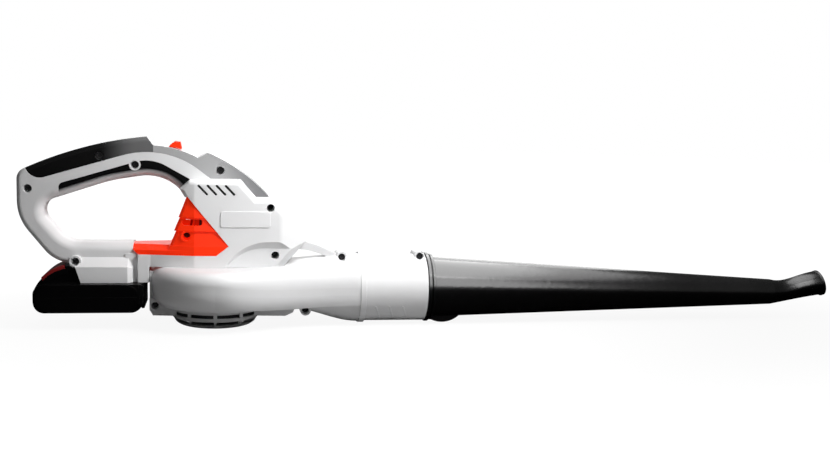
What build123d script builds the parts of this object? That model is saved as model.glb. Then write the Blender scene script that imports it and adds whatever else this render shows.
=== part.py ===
from build123d import *
import os
from math import asin, atan2, cos, degrees, pi, radians, sin, tan

os.makedirs("parts", exist_ok=True)

# Cordless leaf blower. X runs forward to the nozzle, Z up, and Y = 0 is the plane where the halves meet.
# The origin lies on the fan axis, in the plane that the intake grille stands on. All sizes in millimetres.

# Walls and fits, and a reach that lies well clear of either flank
wall = 2.5
outside = 90.0
fit = 0.1
slack = 0.4
skin = 3.0

# Loop handle, side view as X and Z
handle_half = 19.0
heel = (-188.0, 165.0)
heel_angle = 25.0
rear_x = -198.8
grip_step = (-70.5, 198.0)
strip_rear = (-64.0, 189.0)
strip_mid = (-40.0, 185.3)
notch = (-19.0, 177.0)
tail_top = (-8.5, 182.5)
tail_mid = (26.0, 163.0)
tail_tip = (57.0, 134.5)
bar_low = 66.5
bar_top = 88.0
loop_front_top = (-30.0, 134.0)
loop_front_low = (-46.0, bar_top)
loop_round = 9.0
rim_round = 5.0

# Motor housing
housing_half = 35.0
housing_top = 154.5
housing_base = 64.0
housing_front = (96.0, 94.0)
housing_rear = -66.0
housing_round = 5.0
lip_flare = 2.0
tier_lean = 0.3
tier_inset = 0.3
recess_floor = 31.0
recess_depth = 4.5
arch_low = [(11, 64), (26.7, 78.3), (56, 84.2)]
arch_high = [(9, 64), (27.8, 84.6), (56, 92.3)]
facet_top = 92.3
facet_wide = 7.0
facet_deep = 7.0
plate_at = (30.0, 114.7)
plate_len = 51.0
plate_height = 16.5
plate_rise = 0.6
belt_top = 77.0
vent_rear = -84.0
bar_crest = 86.5
bar_crease = 81.4
bar_bevel = 9.0
tier_rear = -47.0

# Air slots in the housing flanks and the thumb switch on the strip
vent_slot_x = -13.5
vent_slot_z = 144.7
vent_slot_len = 12.0
vent_slot_width = 2.4
vent_slot_turn = -46.0
vent_pitch = 9.2
switch_tilt = 14.0
switch_at = (-42.0, 185.6)
switch_stem = 6.0
switch_travel = 7.0
switch_slot = switch_stem + switch_travel + 3.0

# Battery dock
dock_half = 29.0
dock_base = 47.5
dock_front = -84.0
post_rear = -79.0
post_half = 25.0
post_web_half = 20.0
rail_half = 25.0
rail_neck = 21.0
rail_low = 52.5
rail_top = 62.5
bay_end = -87.0

# Fan scroll, neck and outlet collar
scroll_base = 23.0
scroll_top = 64.0
scroll_rear = 67.0
scroll_near = 77.0
scroll_far = 60.0
scroll_wall = 3.0
scroll_round = 13.0
belly_round = 32.0
duct_round = 17.0
floor_round = 14.0
foot_round = 5.0
lip_line = [(-80.0, 30.7), (75.0, 21.5), (160.0, 23.5)]
lip_step = 6.0
outlet_z = 38.5
neck_r = 36.5
neck_end = 152.0
neck_flat = 4.0
drop_start = 60.0
flange_r = 38.3
flange_len = 6.0
collar_end = 225.0
spigot_r = 28.0
spigot_end = 266.0
duct_wall = 3.0
intake_r = 36.0
foot_half = 27.0
rear_foot = [(-67.2, 31.0), (-67.2, 19.5), (-63.6, 13.3), (-40.0, 12.7), (-40.0, 31.0)]
rear_spine = [(-67.2, 59.5), (-67.2, 31.0), (-50.0, 31.0), (-50.0, 59.5)]
spine_half = 23.0
front_foot = [(40.0, 25.0), (40.0, 12.4), (72.8, 11.8), (80.7, 15.4), (84.0, 23.0)]
ridge_start = 167.7
ridge_pitch = 14.6
ridge_top = 22.6
ridge_low = 7.0
ridge_lean = 6.3
ridge_width = 1.6
ridge_rise = 0.8
grille_r = 45.5
grille_flat_r = 31.0
grille_bend = 12.0
grille_bars = 10
grille_rings = (17.0, 26.5)
grille_rows = (4.6, 12.2)
grille_slot = 3.8
grille_floor = 2.4
grille_wall = 2.5
grille_rib = 2.2
grille_pillar = 4.0
motor_hole_r = 18.0
rib_half = 7.0
high_boss_half = 13.0
low_boss_half = 22.0

# Motor and fan
motor_r = 22.5
motor_base = 71.0
motor_len = 60.0
shaft_r = 2.5
fan_r = 50.0
fan_low = 29.0
fan_top = 52.0
blade_count = 9
bearing_r = 6.5
motor_screw_r = 13.5
armature_r = 16.2
armature_len = 34.0
armature_slots = 10
commutator_r = 8.0

# Nozzle tube along X: plain taper, then a bend that turns up to the mouth
nozzle_start = 226.0
tube_bend = 640.0
tube_r0 = 33.2
tube_r1 = 14.5
tube_drop = 7.0
tube_wall = 2.2
boss_low = 0.6
mouth_tilt = 16.0

# Battery
pack_rear = -182.6
pack_front = -72.4
pack_half = 37.0
pack_low = 18.0
pack_top = 47.2
pack_seam = 34.0
pack_round = 13.0
pack_front_round = 6.0
cell_r = 9.2
cell_len = 65.0
cell_count = 5
holder_rise = 5.5
wedge_half = 25.0
button_press = 2.5
button_wall = 3.0

# Terminals and leads
blade_y = 9.0
block_half = 15.0
block_len = 8.0
block_height = 9.0
lead_r = 1.2

# Screws, all driven from the near side
screw_head_r = 3.5
screw_head_h = 2.8
screw_r = 1.7
screw_len = 18.0
drive_len = 4.2
drive_width = 0.9
drive_depth = 1.4
recess_r = 4.1
boss_r = 5.8
deep_seat = -9.0
flush_seat = -14.0
handle_screws = [(-187.4, 143.0), (-82.2, 168.6), (-141.0, 69.2)]
housing_deep = [(55.9, 126.9), (61.3, 76.9)]
trim_screws = [(-117.1, 177.5), (4.1, 164.3)]
vent_screw = [(-29.7, 96.5)]
scroll_low = [(-61.6, 23.5), (94.5, 16.8)]
scroll_high = [(133.2, 73.0), (218.4, 74.0)]
low_seat = -11.0
high_seat = -9.0


def smooth(start, end, t):
    """Ease from start to end as t goes from 0 to 1."""
    t = min(max(t, 0.0), 1.0)
    return start + (end - start) * (0.5 - 0.5 * cos(pi * t))


def side_block(points, half):
    """Prism with a side outline in X and Z, reaching half to each side of the middle plane."""
    with BuildPart() as block:
        with BuildSketch(Plane.XZ):
            with BuildLine():
                Polyline(*points, close=True)
            make_face()
        extrude(amount=half, both=True)
    return block.part


def cross_pins(places, radius, start, end):
    """Round bars along Y from start to end at places in X and Z."""
    with BuildPart() as pins:
        with BuildSketch(Plane.XZ.offset(-start)):
            with Locations(*places):
                Circle(radius)
        extrude(amount=start - end)
    return pins.part


def screws(places, seat, length):
    """Pan-head screws along Y whose heads sit at seat and whose points lie at +Y."""
    with BuildPart() as group:
        with BuildSketch(Plane.XZ.offset(-seat)):
            with Locations(*places):
                Circle(screw_head_r)
        extrude(amount=screw_head_h)
        with BuildSketch(Plane.XZ.offset(-seat)):
            with Locations(*places):
                Circle(screw_r)
        extrude(amount=-length)
        for turn in (0, 90):
            with BuildSketch(Plane.XZ.offset(-seat + screw_head_h)):
                with Locations(*places):
                    Rectangle(drive_len, drive_width, rotation=turn)
            extrude(amount=-drive_depth, mode=Mode.SUBTRACT)
    return group.part


# Rings of the nozzle tip as X, Z, radius and tilt
mouth_dir = (cos(radians(mouth_tilt)), 0, sin(radians(mouth_tilt)))
tip_rings = [
    (tube_bend, outlet_z - tube_drop, tube_r1, 0),
    (tube_bend + 22, outlet_z - 4.9, tube_r1 - 2.1, 9),
    (tube_bend + 44, outlet_z + 0.1, tube_r1 - 0.9, mouth_tilt),
    (tube_bend + 63, outlet_z + 3.5, tube_r1 - 0.2, mouth_tilt),
]


# Loop handle with its tail
def handle_block(inset):
    """Solid of the loop handle, drawn in by inset from its outer surface."""
    rise = radians(heel_angle)
    corner = (rear_x, heel[1] - (heel[0] - rear_x) * tan(rise))
    with BuildPart() as block:
        with BuildSketch(Plane.XZ):
            with BuildLine():
                TangentArc(heel, grip_step, tangent=(cos(rise), sin(rise)))
                Line(grip_step, strip_rear)
                ThreePointArc(strip_rear, strip_mid, notch)
                Line(notch, tail_top)
                ThreePointArc(tail_top, tail_mid, tail_tip)
                Polyline(tail_tip, (60, 110), (60, bar_low), (-120, bar_low))
                low_rear = [(-120, bar_low), (-161.5, bar_low), (rear_x, 113)]
                FilletPolyline(*low_rear, corner, heel, radius=[35, 50, 12])
            make_face()
            with BuildLine():
                FilletPolyline(
                    loop_front_low,
                    (-150, bar_top),
                    (-182.3, 126.3),
                    (-106, 152.2),
                    (-49, 161.5),
                    loop_front_top,
                    radius=[30, 13, 150, 45],
                )
                Line(loop_front_top, loop_front_low)
            make_face(mode=Mode.SUBTRACT)
            if inset:
                offset(amount=-inset)
        extrude(amount=handle_half - inset, both=True)
        if inset < rim_round:
            sides = block.faces().filter_by(Axis.Y)
            loop_edges = [edge for side in sides for edge in side.inner_wires()[0].edges()]
            fillet(loop_edges, radius=loop_round - inset)
            sides = block.faces().filter_by(Axis.Y)
            rim = [edge for side in sides for edge in side.outer_wire().edges() if edge.center().X < -100]
            fillet(rim, radius=rim_round - inset)
    return block.part


# Motor housing, narrower in plan towards the loop and the nose
def housing_block(inset, base):
    """Solid of the motor housing above base, drawn in by inset from its outer surface."""
    with BuildPart() as block:
        with BuildSketch(Plane.XZ):
            with BuildLine():
                Polyline(
                    (-27, housing_top),
                    (24, housing_top),
                    (41, 136),
                    (57, 136),
                    housing_front,
                    (70, base),
                    (housing_rear, base),
                    (housing_rear, belt_top),
                    loop_front_low,
                    loop_front_top,
                    (-37, 145.5),
                    close=True,
                )
            make_face()
            if inset:
                offset(amount=-inset, kind=Kind.INTERSECTION)
        extrude(amount=housing_half - inset, both=True)
        with BuildSketch():
            with BuildLine():
                half_plan = [(112, 17), (67, housing_half), (-22, housing_half), (-66, 25), (-90, 21)]
                mirrored = [(x, -y) for x, y in reversed(half_plan)]
                FilletPolyline(*half_plan, *mirrored, radius=12, close=True)
            make_face()
            if inset:
                offset(amount=-inset)
        extrude(amount=housing_top + wall, mode=Mode.INTERSECT)
        if not inset:
            rim = block.edges().filter_by(lambda edge: edge.center().Z > 95 and abs(edge.center().Y) > 20)
            fillet(rim.filter_by(Axis.Z, reverse=True), radius=housing_round)
    return block.part


def swoosh_block(floor, depth):
    """Block under the curved edge low on each flank of the housing, from floor outwards by depth."""
    with BuildPart() as recess:
        for side in (-1, 1):
            for out, start, bend, crown in ((floor, *arch_low), (floor + depth, *arch_high)):
                with BuildSketch(Plane.XZ.offset(side * out)):
                    with BuildLine():
                        ThreePointArc(start, bend, crown)
                        Polyline(crown, (100, crown[1]), (100, housing_base), start)
                    make_face()
            loft(ruled=True)
    return recess.part


def facet_block(sunk):
    """Wedges that bevel the sloping front edge of the housing below its belt, sunk inwards by sunk."""
    foot = (70, 0, housing_base)
    slope = (housing_front[0] - foot[0], 0, housing_front[1] - foot[2])
    reach = facet_wide + 2
    with BuildPart() as facet:
        for side in (-1, 1):
            with BuildSketch(Plane(origin=foot, x_dir=(0, 1, 0), z_dir=slope)):
                with BuildLine():
                    high = side * (recess_floor + 2 * facet_deep / facet_wide - sunk)
                    low = side * (recess_floor - facet_deep - 2 * facet_deep / facet_wide - sunk)
                    far = side * outside
                    Polyline((high, reach), (low, -2), (far, -2), (far, reach), close=True)
                make_face()
            extrude(amount=60, both=True)
        below_belt = [(40, housing_base - 9), (110, housing_base - 9), (110, facet_top), (40, facet_top)]
        add(side_block(below_belt, outside), mode=Mode.INTERSECT)
    return facet.part


def dock_block():
    """Solid of the battery dock under the handle bar, with its bevelled flanks and the post before it."""
    with BuildPart() as block:
        with BuildSketch(Plane.YZ.offset(dock_front)):
            with BuildLine():
                flank = [(dock_half, dock_base), (dock_half, 64), (handle_half, 73)]
                Polyline(*flank, *[(-y, z) for y, z in reversed(flank)], close=True)
            make_face()
        extrude(amount=-75)
        front = block.edges().filter_by_position(Axis.X, dock_front, dock_front)
        chamfer(front.filter_by(lambda edge: edge.center().Z < 72 and edge.center().Z > 50), 5)
        rear_cut = [(-165, 90), (-141.7, bar_low), (-135.2, dock_base), (-165, dock_base)]
        add(side_block(rear_cut, outside), mode=Mode.SUBTRACT)
        post_front = -scroll_rear - 0.6
        post_step = [(post_front, dock_base), (post_front, housing_base), (housing_rear, housing_base)]
        for rear, half in ((bay_end - 5, post_web_half), (post_rear, post_half)):
            post = [(rear, belt_top), (rear, dock_base), *post_step, (housing_rear, belt_top)]
            add(side_block(post, half))
        with BuildSketch(Plane.XZ):
            with Locations(handle_screws[-1]):
                Circle(6)
        extrude(amount=dock_half - 4, both=True)
    return block.part


def bay_block():
    """Slot for the battery rail, open to the rear and below."""
    with BuildPart() as bay:
        with BuildSketch(Plane.YZ.offset(bay_end)):
            with Locations((0, (rail_low + rail_top) / 2)):
                Rectangle(2 * rail_half, rail_top - rail_low)
            with Locations((0, rail_low - 5)):
                Rectangle(2 * rail_neck, 10)
        extrude(amount=-90)
    return bay.part


# Outlines that divide the handle skin into plastic, grips and trim
def trim_zone(drop):
    """Region above the line where the grip and trim meet the plastic, lowered by drop."""
    with BuildPart() as zone:
        with BuildSketch(Plane.XZ):
            with BuildLine():
                FilletPolyline(
                    (-195, 170 - drop),
                    (-181, 151.8 - drop),
                    (-52.5, 190.9 - drop),
                    (-6, 155.6 - drop),
                    radius=[14, 85],
                )
                Polyline((-6, 155.6 - drop), (25, 155.6 - drop), (41, 137 - drop), (70, 137 - drop))
                Polyline((70, 137 - drop), (70, 215), (-195, 215), (-195, 170 - drop))
            make_face()
        extrude(amount=outside, both=True)
    return zone.part


def under_zone(grow):
    """Region of the soft inlay inside the loop, grown by grow."""
    with BuildPart() as zone:
        with BuildSketch(Plane.XZ):
            with BuildLine():
                FilletPolyline(
                    (-157.5, 125),
                    (-157.5, 148.5),
                    (-66, 176.5),
                    (-24.5, 153.5),
                    (-38, 141.5),
                    (-38, 125),
                    radius=[5, 40, 1, 1],
                )
                Line((-38, 125), (-157.5, 125))
            make_face()
            if grow:
                offset(amount=grow)
        extrude(amount=outside, both=True)
    return zone.part


def vent_zone(grow):
    """Region of the orange insert, grown by grow."""
    corners = [(-29, 137.5), (13, 86.5), (0.5, 76.5), (-79, 76.5), (-84, 81), (-84, 100), (-60, 125)]
    with BuildPart() as zone:
        with BuildSketch(Plane.XZ):
            with BuildLine():
                Polyline(*corners, close=True)
            make_face()
            if grow:
                offset(amount=grow)
        extrude(amount=outside, both=True)
    return zone.part


handle_skin = handle_block(0)
handle_core = handle_block(skin)
handle_void = handle_block(skin + wall)
housing_skin = housing_block(0, housing_base)
housing_void = housing_block(wall, housing_base - 3 * wall)
plastic_screws = handle_screws + housing_deep
switch_dir = (cos(radians(switch_tilt)), 0, -sin(radians(switch_tilt)))
switch_up = (sin(radians(switch_tilt)), 0, cos(radians(switch_tilt)))
switch_plane = Plane(origin=(switch_at[0], 0, switch_at[1]), x_dir=switch_dir, z_dir=switch_up)

with BuildPart() as body:
    add(handle_skin)
    add(trim_zone(0), mode=Mode.SUBTRACT)
    add(under_zone(0), mode=Mode.SUBTRACT)
    add(handle_core)
    add(housing_skin)
    add(swoosh_block(recess_floor, recess_depth), mode=Mode.SUBTRACT)
    add(facet_block(0), mode=Mode.SUBTRACT)
    add(dock_block())

with BuildPart() as recess_walls:
    add(swoosh_block(recess_floor - wall, recess_depth))
    add(facet_block(1.4 * wall))
    add(housing_skin, mode=Mode.INTERSECT)
    add(swoosh_block(recess_floor, recess_depth), mode=Mode.SUBTRACT)
    add(facet_block(0), mode=Mode.SUBTRACT)

with BuildPart() as bosses:
    add(cross_pins(plastic_screws + trim_screws, boss_r, -housing_half, housing_half))
    add(body.part, mode=Mode.INTERSECT)

with BuildPart() as grip_boss:
    add(cross_pins(handle_screws[1:2], boss_r, -handle_half, handle_half))

with BuildPart() as shell:
    add(body.part)
    add(handle_void, mode=Mode.SUBTRACT)
    add(housing_void, mode=Mode.SUBTRACT)
    add(recess_walls.part)
    add(bosses.part)
    add(grip_boss.part)
    add(bay_block(), mode=Mode.SUBTRACT)
    with BuildSketch(Plane.YZ.offset(bay_end)):
        with Locations((0, (rail_low + rail_top) / 2)):
            Rectangle(2 * (block_half + fit), block_height + 2 * fit)
    extrude(amount=block_len + fit, mode=Mode.SUBTRACT)
    with BuildSketch(Plane.XZ):
        with BuildLine():
            Polyline((bay_end + block_len - 1, 54), (housing_rear - 1.5, 54), (housing_rear - 1.5, 65.5))
            Polyline((housing_rear - 1.5, 65.5), (housing_rear + 5, 65.5), (housing_rear + 5, 76))
            Polyline((housing_rear + 5, 76), (bay_end + block_len - 1, 76), (bay_end + block_len - 1, 54))
        make_face()
    extrude(amount=12, both=True, mode=Mode.SUBTRACT)
    add(vent_zone(fit), mode=Mode.SUBTRACT)
    add(cross_pins(plastic_screws, recess_r, -outside, deep_seat), mode=Mode.SUBTRACT)
    add(cross_pins(plastic_screws, screw_r + fit, -outside, deep_seat + screw_len + 1), mode=Mode.SUBTRACT)
    add(cross_pins(trim_screws, recess_r, -outside, flush_seat), mode=Mode.SUBTRACT)
    add(cross_pins(trim_screws, screw_r + fit, -outside, flush_seat + screw_len + 1), mode=Mode.SUBTRACT)
    with BuildSketch(Plane.XZ):
        with Locations(*[(vent_slot_x + step * vent_pitch, vent_slot_z) for step in range(4)]):
            SlotCenterToCenter(vent_slot_len, vent_slot_width, rotation=vent_slot_turn)
    extrude(amount=outside, both=True, mode=Mode.SUBTRACT)
    with BuildSketch(switch_plane):
        Rectangle(switch_slot, switch_stem + 2 * slack)
    extrude(amount=12, both=True, mode=Mode.SUBTRACT)
    for side in (-1, 1):
        with BuildSketch(Plane.XZ.offset(side * (housing_half - 1))):
            with Locations(plate_at):
                RectangleRounded(plate_len, plate_height, wall)
        extrude(amount=side * (1 + plate_rise))

with BuildPart() as body_right:
    add(shell.part)
    split(bisect_by=Plane.XZ, keep=Keep.TOP)
body_right.part.label = "body_right"
export_step(body_right.part, "parts/body_right.step")

with BuildPart() as body_left:
    add(shell.part)
    split(bisect_by=Plane.XZ, keep=Keep.BOTTOM)
body_left.part.label = "body_left"
export_step(body_left.part, "parts/body_left.step")

# Soft grips and trim, a skin over the handle core
grip_core = handle_block(skin - fit)

with BuildPart() as saddle:
    add(handle_skin)
    add(trim_zone(-fit), mode=Mode.INTERSECT)
    add(grip_core, mode=Mode.SUBTRACT)
    add(cross_pins(trim_screws, recess_r, -outside, flush_seat), mode=Mode.SUBTRACT)
    with BuildSketch(switch_plane):
        Rectangle(switch_slot, switch_stem + 2 * slack)
    extrude(amount=12, both=True, mode=Mode.SUBTRACT)

with BuildPart() as grip_top:
    add(saddle.part)
    split(bisect_by=Plane.YZ.offset(strip_rear[0]), keep=Keep.BOTTOM)
grip_top.part.label = "grip_top"
export_step(grip_top.part, "parts/grip_top.step")

with BuildPart() as top_trim:
    add(saddle.part)
    split(bisect_by=Plane.YZ.offset(strip_rear[0] + fit), keep=Keep.TOP)
top_trim.part.label = "top_trim"
export_step(top_trim.part, "parts/top_trim.step")

with BuildPart() as grip_under:
    add(handle_skin)
    add(under_zone(-fit), mode=Mode.INTERSECT)
    add(grip_core, mode=Mode.SUBTRACT)
    add(housing_skin, mode=Mode.SUBTRACT)
    add(cross_pins(plastic_screws, boss_r + fit, -outside, outside), mode=Mode.SUBTRACT)
grip_under.part.label = "grip_under"
export_step(grip_under.part, "parts/grip_under.step")


# Orange vent insert: a stack of tiers that flare at their lower edges, over a bar
def vent_tier(low, high, rear_low, rear_high, low_inset, high_inset):
    """One tier of the insert, narrower at its upper edge."""
    with BuildPart() as tier:
        for height, rear, inset in ((low, rear_low, low_inset), (high, rear_high, high_inset)):
            half = housing_half - inset
            rear_half = 25 + (rear - housing_rear) * 10 / 44 - inset
            with BuildSketch(Plane.XY.offset(height)):
                with BuildLine():
                    side = [(20, half), (-22, half), (rear + 3, rear_half), (rear, rear_half - 3)]
                    Polyline(*side, *[(x, -y) for x, y in reversed(side)], close=True)
                make_face()
        loft(ruled=True)
    return tier.part


def bar_plan(flank, rear):
    """Corners of the insert's bar in plan, for the half width at its front and its rear end."""
    side = [(20, flank), (-22, flank), (housing_rear, flank - 10), (rear, flank - 14)]
    return [*side, *[(x, -y) for x, y in reversed(side)]]


def vent_stack(inset):
    """All tiers and the bevelled bar of the insert, drawn in by inset."""
    flank = housing_half - tier_inset - inset
    with BuildPart() as stack:
        for low, high, rear in ((116, 140, -38), (102, 116, -42.5), (bar_crest - 1, 102, tier_rear)):
            top_rear = rear + lip_flare + (high - low) * tier_lean
            top_inset = inset + tier_inset + lip_flare
            add(vent_tier(low, high, rear + inset, top_rear + inset, inset + tier_inset, top_inset))
        with BuildSketch(Plane.XY.offset(70)):
            with BuildLine():
                Polyline(*bar_plan(flank, vent_rear + inset), close=True)
            make_face()
        extrude(amount=bar_crease - inset - 70)
        for height, drawn in ((bar_crease - inset, 0), (bar_crest - inset, bar_bevel)):
            with BuildSketch(Plane.XY.offset(height)):
                with BuildLine():
                    Polyline(*bar_plan(flank - drawn, vent_rear + inset), close=True)
                make_face()
        loft(ruled=True)
        with BuildSketch(Plane.XY.offset(70)):
            with BuildLine():
                side = [(20, flank), (-22, flank), (tier_rear + inset, flank - 6)]
                Polyline(*side, *[(x, -y) for x, y in reversed(side)], close=True)
            make_face()
        extrude(amount=bar_crest - inset - 70)
    return stack.part


with BuildPart() as vent_insert:
    add(vent_stack(0))
    add(vent_stack(wall), mode=Mode.SUBTRACT)
    space_rear = tier_rear + wall
    motor_space = vent_tier(75, 92, space_rear, space_rear + 1, wall + tier_inset, wall + 2 * tier_inset)
    add(motor_space, mode=Mode.SUBTRACT)
    add(cross_pins(vent_screw, boss_r, -32, deep_seat + screw_len + 2))
    add(vent_zone(-fit), mode=Mode.INTERSECT)
    add(cross_pins(vent_screw, recess_r, -outside, deep_seat), mode=Mode.SUBTRACT)
    add(cross_pins(vent_screw, screw_r + fit, -outside, deep_seat + screw_len + 1), mode=Mode.SUBTRACT)
    with BuildSketch(Plane.XZ):
        with Locations((-24, 111)):
            SlotOverall(21, 6.4)
    extrude(amount=outside, both=True, mode=Mode.SUBTRACT)
vent_insert.part.label = "vent_insert"
export_step(vent_insert.part, "parts/vent_insert.step")

# Thumb switch: a ribbed cap on a stem that runs in the slot of the strip
with BuildPart() as power_switch:
    with BuildSketch(Plane(origin=switch_plane.origin, x_dir=switch_dir, z_dir=(0, -1, 0))):
        with BuildLine():
            Polyline((-6.5, 0.8), (-6.5, 2.2), (-2, 7.5), (3, 8.2), (6, 2.2), (6, 0.8), close=True)
        make_face()
    extrude(amount=7, both=True)
    fillet(power_switch.edges().filter_by(Axis.Y, reverse=True), radius=0.8)
    with BuildSketch(switch_plane.offset(1)):
        with Locations((-4, 0)):
            Rectangle(switch_stem, switch_stem)
    extrude(amount=-9)
power_switch.part.label = "power_switch"
export_step(power_switch.part, "parts/power_switch.step")

with BuildPart() as switch_body:
    with BuildSketch(switch_plane.offset(-8.6)):
        Rectangle(24, 15)
    extrude(amount=-9)
    with BuildSketch(switch_plane.offset(-17.6)):
        with GridLocations(9, 8, 2, 2):
            Rectangle(0.8, 4)
    extrude(amount=-2.5)
switch_body.part.label = "switch_body"
export_step(switch_body.part, "parts/switch_body.step")

# Fan scroll: a teardrop in plan that closes into a round neck
def scroll_rear_half(inset, low, top_round, low_round):
    """Rear half of the scroll above low, between the plane of the fan axis and the battery."""
    with BuildPart() as half:
        with BuildSketch(Plane.XY.offset(low)):
            with BuildLine():
                middle = (scroll_far - scroll_near) / 2
                reach = (scroll_far + scroll_near) / 2 - inset
                EllipticalCenterArc(
                    (0, middle), scroll_rear - inset, reach, start_angle=90, arc_size=180
                )
                Line((0, middle - reach), (0, middle + reach))
            make_face()
        extrude(amount=scroll_top - inset - low)
        curved = half.edges().filter_by(lambda edge: edge.center().X < -5)
        fillet(curved.group_by(Axis.Z)[-1], radius=top_round)
        curved = half.edges().filter_by(lambda edge: edge.center().X < -5)
        fillet(curved.group_by(Axis.Z)[0], radius=low_round)
    return half.part


def scroll_front_half(inset, rear_low, top_round, low_round, neck_inset, side_inset, rise_start):
    """Front half of the scroll, lofted from the plane of the fan axis to the rounded neck."""
    end_r = neck_r - neck_inset
    end_half = end_r - side_inset
    with BuildPart() as half:
        for x in (0, 40, 80, 120, neck_end):
            t = x / 120
            near = smooth(scroll_near - inset, end_half, t)
            far = smooth(scroll_far - inset, end_half, t)
            high = smooth(scroll_top - inset, outlet_z + end_r, (x - rise_start) / (neck_end - rise_start))
            low = smooth(rear_low, outlet_z - end_r, (x - drop_start) / (neck_end - drop_start))
            snug = (near + far) / 2 - neck_flat
            top_r = min(smooth(top_round, end_r - neck_flat, t), snug, (high - low) / 2 - neck_flat)
            low_r = min(smooth(low_round, end_r - neck_flat, t), snug, high - low - top_r - 2 * neck_flat)
            with BuildSketch(Plane.YZ.offset(x)):
                with BuildLine():
                    FilletPolyline(
                        (-near, low),
                        (far, low),
                        (far, high),
                        (-near, high),
                        radius=[low_r, low_r, top_r, top_r],
                        close=True,
                    )
                make_face()
        loft()
    return half.part


def scroll_form(inset, low, top_round, low_round, neck_inset=0.0, side_inset=0.0, rise_start=30.0):
    """Whole scroll and neck, drawn in by inset, the neck by neck_inset and its sides by side_inset more."""
    with BuildPart() as form:
        add(scroll_rear_half(inset, low, top_round, low_round))
        add(scroll_front_half(inset, low, top_round, low_round, neck_inset, side_inset, rise_start))
    return form.part


lip_ends = [(lip_line[0][0], -outside), (lip_line[-1][0], -outside)]
under_lip = side_block([*lip_ends, *reversed(lip_line)], outside)

with BuildPart() as scroll_dome:
    add(scroll_form(0, scroll_base - 12, scroll_round, belly_round))
    add(under_lip, mode=Mode.SUBTRACT)

with BuildPart() as scroll_foot:
    add(scroll_form(lip_step, scroll_base, duct_round, foot_round, side_inset=lip_step))
    add(under_lip, mode=Mode.INTERSECT)

with BuildPart() as collar_ridges:
    for step in range(3):
        top_x = ridge_start + ridge_pitch * step
        low_x = top_x + ridge_lean
        with BuildSketch(Plane.XZ):
            with BuildLine():
                upper = [(top_x, ridge_top), (top_x + ridge_width, ridge_top)]
                Polyline(*upper, (low_x + ridge_width, ridge_low), (low_x, ridge_low), close=True)
            make_face()
        extrude(amount=neck_r, both=True)
    with BuildSketch(Plane.YZ.offset(neck_end)):
        with Locations((0, outlet_z)):
            Circle(neck_r + ridge_rise)
    extrude(amount=collar_end - neck_end, mode=Mode.INTERSECT)

with BuildPart() as scroll_solid:
    add(scroll_dome.part)
    add(scroll_foot.part)
    add(collar_ridges.part)
    add(side_block(rear_foot, foot_half))
    add(side_block(rear_spine, spine_half))
    add(side_block(front_foot, foot_half))
    with BuildSketch(Plane.YZ.offset(neck_end)):
        with Locations((0, outlet_z)):
            Circle(flange_r)
    extrude(amount=flange_len)
    with BuildSketch(Plane.YZ.offset(neck_end)):
        with Locations((0, outlet_z)):
            Circle(neck_r)
    extrude(amount=collar_end - neck_end)
    with BuildSketch(Plane.YZ.offset(collar_end)):
        with Locations((0, outlet_z)):
            Circle(spigot_r)
    extrude(amount=spigot_end - collar_end)
    with BuildSketch(Plane.XZ):
        with BuildLine():
            ThreePointArc((82, 92), (112, 83), (144, 66))
            Line((144, 66), (118, 72.5))
            ThreePointArc((118, 72.5), (101, 78.5), (82, 81))
            Line((82, 81), (82, 92))
        make_face()
    extrude(amount=rib_half, both=True)

with BuildPart() as tongue:
    with BuildSketch(Plane.XY.offset(scroll_base)):
        with BuildLine():
            CenterArc((0, 0), fan_r + 3, 25, 45)
            tongue_tip = ((fan_r + 3) * cos(radians(25)), (fan_r + 3) * sin(radians(25)))
            tongue_end = ((fan_r + 3) * cos(radians(70)), (fan_r + 3) * sin(radians(70)))
            Polyline(tongue_tip, (105, 42), (105, 70), (tongue_end[0], 70), tongue_end)
        make_face()
    extrude(amount=scroll_top - scroll_base)

with BuildPart() as scroll_duct:
    floor = scroll_base + scroll_wall
    add(scroll_form(scroll_wall, floor, duct_round, floor_round, scroll_wall, lip_step, drop_start))
    with BuildSketch(Plane.YZ.offset(neck_end)):
        with Locations((0, outlet_z)):
            Ellipse(neck_r - scroll_wall - lip_step, neck_r - scroll_wall)
    with BuildSketch(Plane.YZ.offset(collar_end - 4)):
        with Locations((0, outlet_z)):
            Circle(spigot_r - duct_wall)
    loft()
    with BuildSketch(Plane.YZ.offset(collar_end - 4)):
        with Locations((0, outlet_z)):
            Circle(spigot_r - duct_wall)
    extrude(amount=spigot_end - collar_end + 10)
    add(tongue.part, mode=Mode.SUBTRACT)

with BuildPart() as scroll:
    add(scroll_solid.part)
    add(scroll_duct.part, mode=Mode.SUBTRACT)
    add(cross_pins(scroll_high, boss_r, -high_boss_half, high_boss_half))
    add(cross_pins(scroll_low, boss_r, -low_boss_half, low_boss_half))
    for places, seat in ((scroll_low, low_seat), (scroll_high, high_seat)):
        add(cross_pins(places, recess_r - 0.3, -outside, seat), mode=Mode.SUBTRACT)
        add(cross_pins(places, screw_r + fit, -outside, seat + screw_len + 1), mode=Mode.SUBTRACT)
    add(housing_skin, mode=Mode.SUBTRACT)
    with BuildSketch(Plane.XY.offset(scroll_top - 10)):
        Circle(motor_hole_r)
    extrude(amount=20, mode=Mode.SUBTRACT)
    with BuildSketch():
        Circle(grille_r + slack)
    extrude(amount=scroll_base, mode=Mode.SUBTRACT)
    with BuildSketch(Plane.XY.offset(scroll_base)):
        Circle(intake_r)
    extrude(amount=2 * scroll_wall, mode=Mode.SUBTRACT)

with BuildPart() as scroll_right:
    add(scroll.part)
    split(bisect_by=Plane.XZ, keep=Keep.TOP)
scroll_right.part.label = "scroll_right"
export_step(scroll_right.part, "parts/scroll_right.step")

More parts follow.
